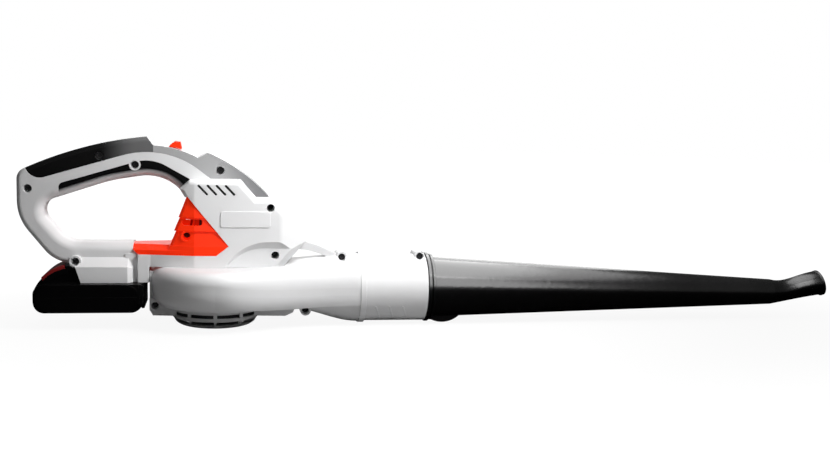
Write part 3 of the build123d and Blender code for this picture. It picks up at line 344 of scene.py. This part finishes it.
    def _shade(
        self, tree: bpy.types.NodeTree, patches: bpy.types.NodeSocket, edges: bpy.types.NodeSocket
    ) -> bpy.types.NodeSocket:
        """Base colour with broad mottle and lighter edges.

        Args:
            tree: Node tree to add to.
            patches: Broad noise.
            edges: Edge mask.

        Returns:
            The colour.
        """
        tones = tree.nodes.new("ShaderNodeMix")
        tones.data_type = "RGBA"
        tones.inputs["A"].default_value = (*scaled(self.colour, 1 - self.mottle), 1)
        tones.inputs["B"].default_value = (*scaled(self.colour, 1 + self.mottle), 1)
        tree.links.new(patches, tones.inputs["Factor"])
        share = tree.nodes.new("ShaderNodeMath")
        share.operation = "MULTIPLY"
        share.inputs[1].default_value = self.wear
        tree.links.new(edges, share.inputs[0])
        worn = scaled(self.colour, WORN_GAIN, WORN_LIFT)
        return self._blend(tree, share.outputs["Value"], tones.outputs["Result"], worn)

    def _painted_light(
        self,
        tree: bpy.types.NodeTree,
        place: bpy.types.NodeSocket,
        colour: bpy.types.NodeSocket,
        turn: PaintedLightTurn,
    ) -> bpy.types.NodeSocket:
        """Painted light or shade: colour that changes to a second one along the piece or with its slope.

        Args:
            tree: Node tree to add to.
            place: Coordinates to read for the length.
            colour: Colour before the change.
            turn: Second colour and where it starts and ends.

        Returns:
            The changing colour.
        """
        split = tree.nodes.new("ShaderNodeSeparateXYZ")
        slope = tree.nodes.new("ShaderNodeTexCoord").outputs["Normal"]
        tree.links.new(place if turn.guide is Guide.LENGTH else slope, split.inputs["Vector"])
        share = tree.nodes.new("ShaderNodeMapRange")
        share.interpolation_type = "SMOOTHSTEP"
        share.inputs["From Min"].default_value = turn.start
        share.inputs["From Max"].default_value = turn.end
        tree.links.new(split.outputs[turn.guide.value], share.inputs["Value"])
        return self._blend(tree, share.outputs["Result"], colour, turn.colour)

    def _groove(
        self, tree: bpy.types.NodeTree, place: bpy.types.NodeSocket, colour: bpy.types.NodeSocket
    ) -> bpy.types.NodeSocket:
        """Dark line at Y = 0, where the halves meet.

        Args:
            tree: Node tree to add to.
            place: Coordinates to read.
            colour: Colour off the line.

        Returns:
            The colour with the line.
        """
        split = tree.nodes.new("ShaderNodeSeparateXYZ")
        tree.links.new(place, split.inputs["Vector"])
        away = tree.nodes.new("ShaderNodeMath")
        away.operation = "ABSOLUTE"
        tree.links.new(split.outputs["Y"], away.inputs[0])
        line = tree.nodes.new("ShaderNodeMapRange")
        line.inputs["From Min"].default_value = GROOVE_HALF
        line.inputs["From Max"].default_value = GROOVE_FADE
        line.inputs["To Min"].default_value = GROOVE_WEIGHT
        line.inputs["To Max"].default_value = 0.0
        tree.links.new(away.outputs["Value"], line.inputs["Value"])
        dark = scaled(self.colour, GROOVE_TONE)
        return self._blend(tree, line.outputs["Result"], colour, dark)


SHELL = Finish("shell_grey", (0.80, 0.80, 0.805), 0.36, mottle=0.012, specular=0.2, parting=True)
SCROLL = Finish("scroll_grey", (0.68, 0.68, 0.685), 0.3, mottle=0.012, specular=0.25, parting=True)
# Painted shade: the trim turns darker towards its front end, for how the light falls on it.
TRIM = Finish(
    "satin_trim",
    (0.42, 0.42, 0.425),
    0.25,
    wear=0.05,
    turn=PaintedLightTurn((0.19, 0.19, 0.195), -10.0 * MM, 45.0 * MM),
)
# Painted reflection: the lower grip turns near white on faces that look down, for the pale floor mirrored
# in it.
GRIP = Finish(
    "grip_rubber",
    (0.003, 0.003, 0.0032),
    0.2,
    Grain.SOFT,
    depth=0.006 * MM,
    wear=0.02,
    specular=0.4,
    turn=PaintedLightTurn((0.8, 0.8, 0.805), -0.12, -0.6, Guide.SLOPE),
)
# Painted highlight: the upper grip turns from black to grey towards its front.
GRIP_TOP = Finish(
    "grip_rubber_top",
    (0.004, 0.004, 0.0042),
    0.2,
    Grain.SOFT,
    depth=0.006 * MM,
    wear=0.02,
    specular=0.4,
    turn=PaintedLightTurn((0.15, 0.15, 0.152), -118.0 * MM, -80.0 * MM),
)
BLACK = Finish(
    "satin_black", (0.002, 0.002, 0.0022), 0.24, Grain.SATIN, depth=0.01 * MM, wear=0.02, specular=0.09
)
TUBE = Finish(
    "tube_black", (0.002, 0.002, 0.0022), 0.2, Grain.SATIN, depth=0.005 * MM, wear=0.02, specular=1.0
)
# Painted glow: the orange emits a share of its own colour, though it is no lamp.
ORANGE = Finish("orange", (0.95, 0.032, 0.005), 0.36, wear=0.05, specular=0.1, painted_glow=0.3)
DARK_RED = Finish("dark_red", (0.22, 0.008, 0.008), 0.34, specular=0.25)
GRILLE = Finish("grille_grey", (0.72, 0.72, 0.72), 0.42)
SCREW = Finish("black_screw", (0.012, 0.012, 0.013), 0.4, Grain.BRUSHED, specular=0.4)
INNER = Finish("inner_black", (0.02, 0.02, 0.02), 0.55)
STEEL = Finish("plated_steel", (0.55, 0.55, 0.55), 0.3, Grain.BRUSHED, metallic=1.0)
IRON = Finish("stacked_iron", (0.25, 0.23, 0.21), 0.45, Grain.BRUSHED, metallic=1.0)
BRASS = Finish("brass", (0.78, 0.58, 0.26), 0.28, Grain.BRUSHED, metallic=1.0)
CELL = Finish("cell_wrap", (0.08, 0.2, 0.5), 0.3, Grain.SATIN)
BOARD = Finish("board_green", (0.02, 0.16, 0.06), 0.35, Grain.SATIN)
LEAD_RED = Finish("lead_sleeve_red", (0.5, 0.02, 0.02), 0.4, Grain.SATIN)

NODE_FINISHES: dict[Finish, tuple[str, ...]] = {
    SHELL: ("body_right", "body_left"),
    SCROLL: ("scroll_right", "scroll_left"),
    TRIM: ("top_trim",),
    GRIP: ("grip_under",),
    GRIP_TOP: ("grip_top",),
    BLACK: ("battery_case_lower", "battery_case_upper"),
    TUBE: ("nozzle_tube",),
    ORANGE: ("vent_insert", "power_switch"),
    DARK_RED: ("release_button",),
    GRILLE: ("intake_grille",),
    SCREW: ("housing_screws", "scroll_screws", "motor_screws", "impeller_nut"),
    INNER: (
        "switch_body",
        "motor_mount",
        "motor_end_cap",
        "motor_magnets",
        "motor_brushes",
        "impeller",
        "cell_holder",
        "terminal_block",
        "lead_motor",
    ),
    STEEL: ("motor_can", "bearing_bottom", "bearing_top", "motor_shaft", "release_spring", "cell_straps"),
    IRON: ("armature",),
    BRASS: ("commutator", "battery_contacts", "terminal_blades"),
    CELL: ("battery_cells",),
    BOARD: ("battery_board",),
    LEAD_RED: ("lead_supply",),
}


def dress_nodes(nodes: dict[str, bpy.types.Object]) -> None:
    """Give every solid of the frame its finish.

    Args:
        nodes: Objects of the frame by node name.
    """
    for finish, names in NODE_FINISHES.items():
        for name in names:
            mesh = nodes[name].data
            mesh.materials.clear()
            mesh.materials.append(finish.material())
            LOG.info("%s dressed as %s", name, finish.name)


# Mouldings that the solids leave out

# Facets across a rounded edge, and the profile that makes it a true arc
ROUND_STEPS = 3
ROUND_PROFILE = 0.5

# Vertices this close are one, and edges sharper than this stay crisp
WELD = 0.001 * MM
CRISP = radians(35)


def block(bm: bmesh.types.BMesh, size: Vector, at: Matrix, round_off: float) -> None:
    """Add a block with rounded edges.

    Args:
        bm: Mesh to add to.
        size: Length, width and height in metres.
        at: Place and turn of its middle.
        round_off: Radius of its edges in metres.
    """
    scale = Matrix.Diagonal((*size, 1.0))
    made = bmesh.ops.create_cube(bm, size=1.0, matrix=at @ scale)
    edges = {edge for vert in made["verts"] for edge in vert.link_edges}
    bmesh.ops.bevel(
        bm,
        geom=list(edges),
        offset=round_off,
        segments=ROUND_STEPS,
        profile=ROUND_PROFILE,
        affect="EDGES",
        material=-1,
    )


def piece(name: str, bm: bmesh.types.BMesh, body: Body, finish: Finish) -> bpy.types.Object:
    """Turn a mesh into a piece that rides on a body.

    Args:
        name: Name of the piece.
        bm: Mesh in the frame's coordinates. It is freed.
        body: Body that the piece moves with.
        finish: Finish of the piece.

    Returns:
        The piece.
    """
    bmesh.ops.remove_doubles(bm, verts=bm.verts, dist=WELD)
    bmesh.ops.recalc_face_normals(bm, faces=bm.faces)
    for face in bm.faces:
        face.smooth = True
    mesh = bpy.data.meshes.new(name)
    bm.to_mesh(mesh)
    bm.free()
    mesh.set_sharp_from_angle(angle=CRISP)
    made = bpy.data.objects.new(name, mesh)
    bpy.context.scene.collection.objects.link(made)
    mesh.materials.append(finish.material())
    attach(made, body.value)
    LOG.info("%s rides on %s", name, body.value)
    return made


def touch(node: bpy.types.Object, start: Vector, way: Vector) -> tuple[Vector, Vector]:
    """Find where a ray first meets a solid.

    Args:
        node: Solid of the frame.
        start: Start of the ray in metres.
        way: Direction of the ray.

    Returns:
        The point and the normal there, turned against the ray.
    """
    tree = BVHTree.FromObject(node, bpy.context.evaluated_depsgraph_get())
    point, normal, _, _ = tree.ray_cast(start, way)
    if point is None:
        raise RuntimeError(f"no surface of {node.name} at {start}")
    return point, normal if normal.dot(way) < 0 else -normal


@dataclass(frozen=True)
class IntakeShadeBowl:
    """Dark air guide inside the intake guard, from its ledge down to the flat of its floor; it closes the
    view through the guard, and its dark is painted shade for the inside of the intake.

    Attributes:
        radius: Outer radius under the ledge in metres.
        bend: Z where the straight wall ends.
        inset: Step in from the radius to the shoulder.
        shoulder: Z of the shoulder.
        mouth: Radius of its open lower end.
        foot: Z of the lower end.
        wall: Thickness of its wall.
        steps: Facets round it.
        probe: Point under the ledge from which the ledge is found.
    """

    radius: float = 41.5 * MM
    bend: float = 11.5 * MM
    inset: float = 2.5 * MM
    shoulder: float = 6.8 * MM
    mouth: float = 31.0 * MM
    foot: float = 4.0 * MM
    wall: float = 0.8 * MM
    steps: int = 96
    probe: Point = (38.0 * MM, 0.0, 10.0 * MM)

    def build(self, guard: bpy.types.Object) -> None:
        """Spin the bowl and give it its wall.

        Args:
            guard: Intake guard that carries it.
        """
        ledge, _ = touch(guard, Vector(self.probe), Vector((0, 0, 1)))
        profile = [
            (self.radius, ledge.z),
            (self.radius, self.bend),
            (self.radius - self.inset, self.shoulder),
            (self.mouth, self.foot),
        ]
        bm = bmesh.new()
        verts = [bm.verts.new((r, 0.0, z)) for r, z in profile]
        edges = [bm.edges.new(pair) for pair in zip(verts, verts[1:])]
        bmesh.ops.spin(
            bm,
            geom=verts + edges,
            cent=(0, 0, 0),
            axis=(0, 0, 1),
            angle=2 * pi,
            steps=self.steps,
            use_merge=True,
        )
        bmesh.ops.remove_doubles(bm, verts=bm.verts, dist=WELD)
        bmesh.ops.recalc_face_normals(bm, faces=bm.faces)
        bmesh.ops.solidify(bm, geom=bm.faces[:], thickness=self.wall)
        piece("intake_shade_bowl", bm, Body.HOUSING, INNER)


@dataclass(frozen=True)
class SlotShadeSheets:
    """Dark sheets on the inside of the housing flanks, behind the four slanted slots, as painted shade:
    they stand for the shade inside the housing.

    Attributes:
        middle: X and Z of the middle in metres.
        size: Length, thickness and height.
        round_off: Radius of the edges.
        probe_ahead: Distance ahead of the middle, clear of the slots, where the inner face is found.
        probe_out: Distance from the middle plane at which the search starts.
    """

    middle: tuple[float, float] = (1.0 * MM, 144.2 * MM)
    size: Point = (50.0 * MM, 0.8 * MM, 13.0 * MM)
    round_off: float = 0.25 * MM
    probe_ahead: float = 24.0 * MM
    probe_out: float = 8.0 * MM

    def build(self, halves: list[bpy.types.Object]) -> None:
        """Set a dark sheet of painted shade against the inner face of each half.

        Args:
            halves: Right and left half of the housing.
        """
        x, z = self.middle
        bm = bmesh.new()
        for half, side in zip(halves, (-1.0, 1.0)):
            start = Vector((x + self.probe_ahead, side * self.probe_out, z))
            inner, _ = touch(half, start, Vector((0, side, 0)))
            at = Matrix.Translation((x, inner.y - side * self.size[1] / 2, z))
            block(bm, Vector(self.size), at, self.round_off)
        piece("slot_shade_sheets", bm, Body.HOUSING, INNER)


@dataclass(frozen=True)
class SwitchRibs:
    """Thumb ribs across the slope of the power switch.

    Attributes:
        middle: X and Z of the switch in metres.
        tilt: Forward slope of the strip in degrees.
        places: Places of the ribs along the slope.
        rib: Length along the slope, width and height of a rib.
        round_off: Radius of its edges.
        probe_up: Height above the switch from which its face is found.
    """

    middle: tuple[float, float] = (-42.0 * MM, 185.6 * MM)
    tilt: float = 14.0
    places: tuple[float, ...] = (-4.6 * MM, -3.1 * MM, -1.6 * MM)
    rib: Point = (0.7 * MM, 7.6 * MM, 0.7 * MM)
    round_off: float = 0.22 * MM
    probe_up: float = 30.0 * MM

    def build(self, switch: bpy.types.Object) -> None:
        """Set the ribs on the switch, each along the face under it.

        Args:
            switch: Power switch that carries them.
        """
        turn = radians(self.tilt)
        along = Vector((cos(turn), 0.0, -sin(turn)))
        up = Vector((sin(turn), 0.0, cos(turn)))
        across = Vector((0, 1, 0))
        bm = bmesh.new()
        for place in self.places:
            start = Vector((self.middle[0], 0.0, self.middle[1])) + along * place + up * self.probe_up
            foot, normal = touch(switch, start, -up)
            turned = Matrix((across.cross(normal), across, normal)).transposed().to_4x4()
            block(bm, Vector(self.rib), Matrix.Translation(foot) @ turned, self.round_off)
        piece("switch_ribs", bm, Body.SWITCH, ORANGE)


@dataclass(frozen=True)
class BatteryStop:
    """Rounded stop bar low on the front of the battery.

    Attributes:
        low: Lowest Z in metres.
        size: Length, width and height.
        sunk: Depth that it is let into the case.
        round_off: Radius of its edges.
    """

    low: float = 20.4 * MM
    size: Point = (3.4 * MM, 50.0 * MM, 9.6 * MM)
    sunk: float = 1.7 * MM
    round_off: float = 1.1 * MM

    def build(self, case: bpy.types.Object) -> None:
        """Set the bar against the front of the case.

        Args:
            case: Lower half of the battery case.
        """
        middle = self.low + self.size[2] / 2
        front, _ = touch(case, Vector((0.0, 0.0, middle)), Vector((-1, 0, 0)))
        bm = bmesh.new()
        at = Matrix.Translation((front.x - self.sunk + self.size[0] / 2, 0.0, middle))
        block(bm, Vector(self.size), at, self.round_off)
        piece("battery_stop", bm, Body.BATTERY, BLACK)


@dataclass(frozen=True)
class ButtonCheeks:
    """Side walls on the battery that the release button sinks between.

    Attributes:
        centre: X and Z of the middle of the battery's arched rear top in metres.
        top: Radius of the upper edge, just under the face of the button.
        low: Radius of the lower edge, on the flank of the arch.
        span: First and last angle in degrees, from +X towards +Z.
        flank: Distance of the flank from the middle plane.
        gap: Clearance between the flank and the wall.
        wall: Distance from the flank to the outer face.
        steps: Facets along the arch.
    """

    centre: tuple[float, float] = (-144.05 * MM, 24.18 * MM)
    top: float = 38.4 * MM
    low: float = 32.6 * MM
    span: tuple[float, float] = (97.0, 141.0)
    flank: float = 25.0 * MM
    gap: float = 0.12 * MM
    wall: float = 0.9 * MM
    steps: int = 24

    def build(self) -> None:
        """Sweep a wall along each flank of the arch."""
        bm = bmesh.new()
        for side in (-1.0, 1.0):
            self._wall(bm, side)
        piece("button_cheeks", bm, Body.BATTERY, BLACK)

    def _wall(self, bm: bmesh.types.BMesh, side: float) -> None:
        """Sweep one wall.

        Args:
            bm: Mesh to add to.
            side: Minus one for the right flank and one for the left.
        """
        pivot = Vector((self.centre[0], 0.0, self.centre[1]))
        first, last = (radians(angle) for angle in self.span)
        out = Vector((cos(first), 0.0, sin(first)))
        inner, outer = side * (self.flank + self.gap), side * (self.flank + self.wall)
        corners = [(self.low, inner), (self.top, inner), (self.top, outer), (self.low, outer)]
        verts = [bm.verts.new(pivot + out * reach + Vector((0, y, 0))) for reach, y in corners]
        edges = [bm.edges.new(pair) for pair in zip(verts, verts[1:] + verts[:1])]
        bmesh.ops.spin(
            bm, geom=verts + edges, cent=pivot, axis=(0, -1, 0), angle=last - first, steps=self.steps
        )
        rims = [edge for edge in bm.edges if edge.is_boundary]
        bmesh.ops.holes_fill(bm, edges=rims, sides=len(corners))


@dataclass(frozen=True)
class ReleaseCoil:
    """Wire spring under the release button, which shortens as the button goes in.

    Attributes:
        foot: Middle of the lowest turn in metres.
        out: Direction from the battery out to the button.
        radius: Radius of the turns.
        wire: Radius of the wire.
        sides: Facets round the wire.
        pitch: Rise of a turn.
        turns: Count of turns.
        steps: Facets of a turn.
        keep: Share of its length that is left when the button is in; not used.
    """

    foot: Point = (-158.069 * MM, 0.0, 49.070 * MM)
    out: Point = (-0.490794, 0.0, 0.871275)
    radius: float = 3.0 * MM
    wire: float = 0.3 * MM
    sides: int = 8
    pitch: float = 1.45 * MM
    turns: int = 6
    steps: int = 24
    keep: float = 0.72

    def build(self) -> None:
        """Wind the wire."""
        foot, out, across = Vector(self.foot), Vector(self.out), Vector((0, 1, 0))
        along = out.cross(across)
        bm = bmesh.new()
        turned = Matrix((across, out, along)).transposed().to_4x4()
        at = Matrix.Translation(foot + across * self.radius) @ turned
        made = bmesh.ops.create_circle(
            bm, cap_ends=False, radius=self.wire, segments=self.sides, matrix=at
        )
        bmesh.ops.spin(
            bm,
            geom=made["verts"] + bm.edges[:],
            cent=foot,
            axis=out,
            dvec=out * (self.pitch / self.steps),
            angle=2 * pi * self.turns,
            steps=self.turns * self.steps,
        )
        ends = [edge for edge in bm.edges if edge.is_boundary]
        bmesh.ops.holes_fill(bm, edges=ends, sides=self.sides)
        coil = piece("release_coil", bm, Body.BATTERY, STEEL)
        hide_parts("release_spring")
        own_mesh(coil)


# Studio


def seen_directly(tree: bpy.types.NodeTree) -> bpy.types.NodeSocket:
    """One for camera and transmission rays, zero for gloss and diffuse light.

    Args:
        tree: Node tree to add to.

    Returns:
        The mask.
    """
    path = tree.nodes.new("ShaderNodeLightPath")
    either = tree.nodes.new("ShaderNodeMath")
    either.operation = "MAXIMUM"
    tree.links.new(path.outputs["Is Camera Ray"], either.inputs[0])
    tree.links.new(path.outputs["Is Transmission Ray"], either.inputs[1])
    return either.outputs["Value"]


def mixed(
    tree: bpy.types.NodeTree,
    share: bpy.types.NodeSocket,
    first: bpy.types.NodeSocket,
    second: bpy.types.NodeSocket,
) -> bpy.types.NodeSocket:
    """Mix two shaders.

    Args:
        tree: Node tree to add to.
        share: Share of the second shader.
        first: Shader where the share is nought.
        second: Shader where the share is one.

    Returns:
        The mixed shader.
    """
    mix = tree.nodes.new("ShaderNodeMixShader")
    tree.links.new(share, mix.inputs["Fac"])
    tree.links.new(first, mix.inputs[1])
    tree.links.new(second, mix.inputs[2])
    return mix.outputs[0]


@dataclass(frozen=True)
class Lamp:
    """A rectangular soft lamp.

    Attributes:
        name: Name of the lamp.
        at: Place in metres.
        aim: Point that it faces.
        size: Width and height in metres.
        watts: Power.
        reach: Which light it takes part in.
    """

    name: str
    at: Point
    aim: Point
    size: tuple[float, float]
    watts: float
    reach: Reach

    def place(self) -> None:
        """Add the lamp to the scene."""
        data = bpy.data.lights.new(self.name, "AREA")
        data.shape = "RECTANGLE"
        data.size, data.size_y = self.size
        data.energy = self.watts
        lamp = bpy.data.objects.new(self.name, data)
        lamp.location = self.at
        lamp.rotation_mode = "QUATERNION"
        lamp.rotation_quaternion = (Vector(self.aim) - Vector(self.at)).to_track_quat("-Z", "Y")
        lamp.visible_camera = False
        lamp.visible_diffuse = self.reach is Reach.MATT
        lamp.visible_glossy = self.reach is Reach.GLOSS
        bpy.context.scene.collection.objects.link(lamp)
        LOG.info("lamp %s", self.name)


LAMPS: tuple[Lamp, ...] = (
    Lamp("key", (0.25, -0.215, 0.40), (0.03, 0.0, 0.09), (0.2, 0.2), 2.85, Reach.MATT),
    Lamp("top", (0.1, 0.1, 0.9), (0.1, 0.0, 0.0), (0.8, 0.5), 1.2, Reach.MATT),
    Lamp("gloss_wall", (0.66, -2.2, 1.4), (0.66, 0.0, 0.9), (1.52, 1.9), 33.0, Reach.GLOSS),
    Lamp("gloss_roof", (0.295, 0.1, 1.04), (0.295, 0.1, 0.0), (0.93, 2.2), 31.0, Reach.GLOSS),
    Lamp("gloss_roof_far", (0.86, 0.1, 1.04), (0.86, 0.1, 0.0), (0.2, 2.2), 3.0, Reach.GLOSS),
    Lamp("gloss_back", (0.4, 1.6, 0.8), (0.3, 0.0, 0.1), (1.6, 1.2), 12.0, Reach.GLOSS),
)


@dataclass(frozen=True)
class Floor:
    """Pale floor that keeps the shadow near the object and runs out to plain white.

    Attributes:
        radius: Radius of the disc in metres.
        steps: Facets round it.
        grey: Brightness of the part that takes the shadow.
        white: Strength of the plain white.
        middle: Middle of the part that takes the shadow.
        stretch: Stretch of that part along each axis.
        near: Distance from its middle, in stretched metres, where it starts to fade.
        far: Distance where only white is left.
        veil: Share of white in its middle.
        bounce: Brightness for diffuse light that it throws back.
        unlit: Brightness for gloss.
    """

    radius: float = 6.0
    steps: int = 64
    grey: float = 0.5
    white: float = 1.08
    middle: Point = (0.25, 0.0, 0.0)
    stretch: Point = (1.0, 0.6, 1.0)
    near: float = 0.3
    far: float = 0.95
    veil: float = 0.85
    bounce: float = 0.34
    unlit: float = 0.005

    def build(self) -> None:
        """Add the disc to the scene."""
        bm = bmesh.new()
        bmesh.ops.create_circle(bm, cap_ends=True, radius=self.radius, segments=self.steps)
        mesh = bpy.data.meshes.new("floor")
        bm.to_mesh(mesh)
        bm.free()
        mesh.materials.append(self._material())
        floor = bpy.data.objects.new("floor", mesh)
        bpy.context.scene.collection.objects.link(floor)

    def _material(self) -> bpy.types.Material:
        """White with a soft shadow for what is seen directly, and a plain bounce for other light.

        Returns:
            The material.
        """
        made = bpy.data.materials.new("floor_white")
        made.use_nodes = True
        tree = made.node_tree
        shader = tree.nodes["Principled BSDF"]
        shader.inputs["Base Color"].default_value = (self.grey, self.grey, self.grey, 1)
        shader.inputs["Roughness"].default_value = 1.0
        shader.inputs["Specular IOR Level"].default_value = 0.0
        white = tree.nodes.new("ShaderNodeEmission")
        white.inputs["Strength"].default_value = self.white
        seen = mixed(tree, self._fade(tree), shader.outputs[0], white.outputs[0])
        surface = mixed(tree, seen_directly(tree), self._thrown_back(tree), seen)
        tree.links.new(surface, tree.nodes["Material Output"].inputs["Surface"])
        return made

    def _fade(self, tree: bpy.types.NodeTree) -> bpy.types.NodeSocket:
        """Share of plain white, which rises away from the object.

        Args:
            tree: Node tree to add to.

        Returns:
            The share.
        """
        place = tree.nodes.new("ShaderNodeTexCoord").outputs["Object"]
        spread = tree.nodes.new("ShaderNodeMapping")
        spread.vector_type = "TEXTURE"
        spread.inputs["Location"].default_value = self.middle
        spread.inputs["Scale"].default_value = self.stretch
        tree.links.new(place, spread.inputs["Vector"])
        away = tree.nodes.new("ShaderNodeVectorMath")
        away.operation = "LENGTH"
        tree.links.new(spread.outputs["Vector"], away.inputs[0])
        fade = tree.nodes.new("ShaderNodeMapRange")
        fade.interpolation_type = "SMOOTHSTEP"
        fade.inputs["From Min"].default_value = self.near
        fade.inputs["From Max"].default_value = self.far
        fade.inputs["To Min"].default_value = self.veil
        tree.links.new(away.outputs["Value"], fade.inputs["Value"])
        return fade.outputs["Result"]

    def _thrown_back(self, tree: bpy.types.NodeTree) -> bpy.types.NodeSocket:
        """Matt surface that is bright for diffuse light and nearly black for gloss.

        Args:
            tree: Node tree to add to.

        Returns:
            The shader.
        """
        matt = tree.nodes.new("ShaderNodeBsdfDiffuse")
        tone = tree.nodes.new("ShaderNodeMapRange")
        tone.inputs["To Min"].default_value = self.unlit
        tone.inputs["To Max"].default_value = self.bounce
        rays = tree.nodes.new("ShaderNodeLightPath")
        tree.links.new(rays.outputs["Is Diffuse Ray"], tone.inputs["Value"])
        tree.links.new(tone.outputs["Result"], matt.inputs["Color"])
        return matt.outputs[0]


@dataclass(frozen=True)
class Studio:
    """White floor, soft lamps and the camera of the photograph.

    Attributes:
        lens_px: Focal length in pixels of the photograph.
        width_px: Width of the photograph in pixels.
        eye: Place of the camera in metres.
        yaw: Turn of the camera towards +X in degrees.
        pitch: Downward tilt in degrees.
        roll: Roll in degrees.
        sensor: Width of the camera's sensor in millimetres.
        nearest: Distance at which the camera starts to see, in metres.
        sky: Strength of the world for light that isn't seen directly.
        floor: Floor of the studio.
        lamps: Lamps of the studio.
    """

    lens_px: float = 1070.0
    width_px: float = 830.0
    eye: Point = (0.006, -1.150, 0.2265)
    yaw: float = 10.3
    pitch: float = 6.3
    roll: float = -1.5
    sensor: float = 36.0
    nearest: float = 0.01
    sky: float = 0.08
    floor: Floor = Floor()
    lamps: tuple[Lamp, ...] = LAMPS

    def build(self) -> None:
        """Set up the world, floor, lamps and camera."""
        bpy.context.scene.view_settings.view_transform = "Standard"
        self._world()
        self.floor.build()
        for lamp in self.lamps:
            lamp.place()
        self._camera()

    def _world(self) -> None:
        """White for camera and transmission rays, and a faint sky for all other light."""
        world = bpy.data.worlds.new("studio")
        world.use_nodes = True
        bpy.context.scene.world = world
        tree = world.node_tree
        sky = tree.nodes["Background"]
        sky.inputs["Color"].default_value = (1, 1, 1, 1)
        sky.inputs["Strength"].default_value = self.sky
        white = tree.nodes.new("ShaderNodeBackground")
        white.inputs["Color"].default_value = (1, 1, 1, 1)
        surface = mixed(tree, seen_directly(tree), sky.outputs[0], white.outputs[0])
        tree.links.new(surface, tree.nodes["World Output"].inputs["Surface"])

    def _camera(self) -> None:
        """Camera at the photograph's place and angle."""
        turn, dip, roll = radians(self.yaw), radians(self.pitch), radians(self.roll)
        ahead = Vector((sin(turn) * cos(dip), cos(turn) * cos(dip), -sin(dip)))
        right = Vector((cos(turn), -sin(turn), 0.0))
        up = right.cross(ahead)
        tilted_right = right * cos(roll) - up * sin(roll)
        tilted_up = up * cos(roll) + right * sin(roll)
        data = bpy.data.cameras.new("camera")
        data.sensor_width = self.sensor
        data.lens = self.lens_px * self.sensor / self.width_px
        data.clip_start = self.nearest
        camera = bpy.data.objects.new("camera", data)
        turned = Matrix((tilted_right, tilted_up, -ahead)).transposed().to_4x4()
        camera.matrix_world = Matrix.Translation(self.eye) @ turned
        bpy.context.scene.collection.objects.link(camera)
        bpy.context.scene.camera = camera


def main() -> None:
    """Load the frame, dress it and set up the studio."""
    logging.basicConfig(level=logging.INFO)
    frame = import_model()
    nodes = frame["nodes"]
    dress_nodes(nodes)
    # Dark bowl in the intake: it closes the view through the guard and is partly painted shade for its
    # inside.
    IntakeShadeBowl().build(nodes["intake_grille"])
    # Painted shade: dark sheets behind the housing slots.
    SlotShadeSheets().build([nodes["body_right"], nodes["body_left"]])
    SwitchRibs().build(nodes["power_switch"])
    BatteryStop().build(nodes["battery_case_lower"])
    ButtonCheeks().build()
    ReleaseCoil().build()
    Studio().build()


if __name__ == "__main__":
    main()
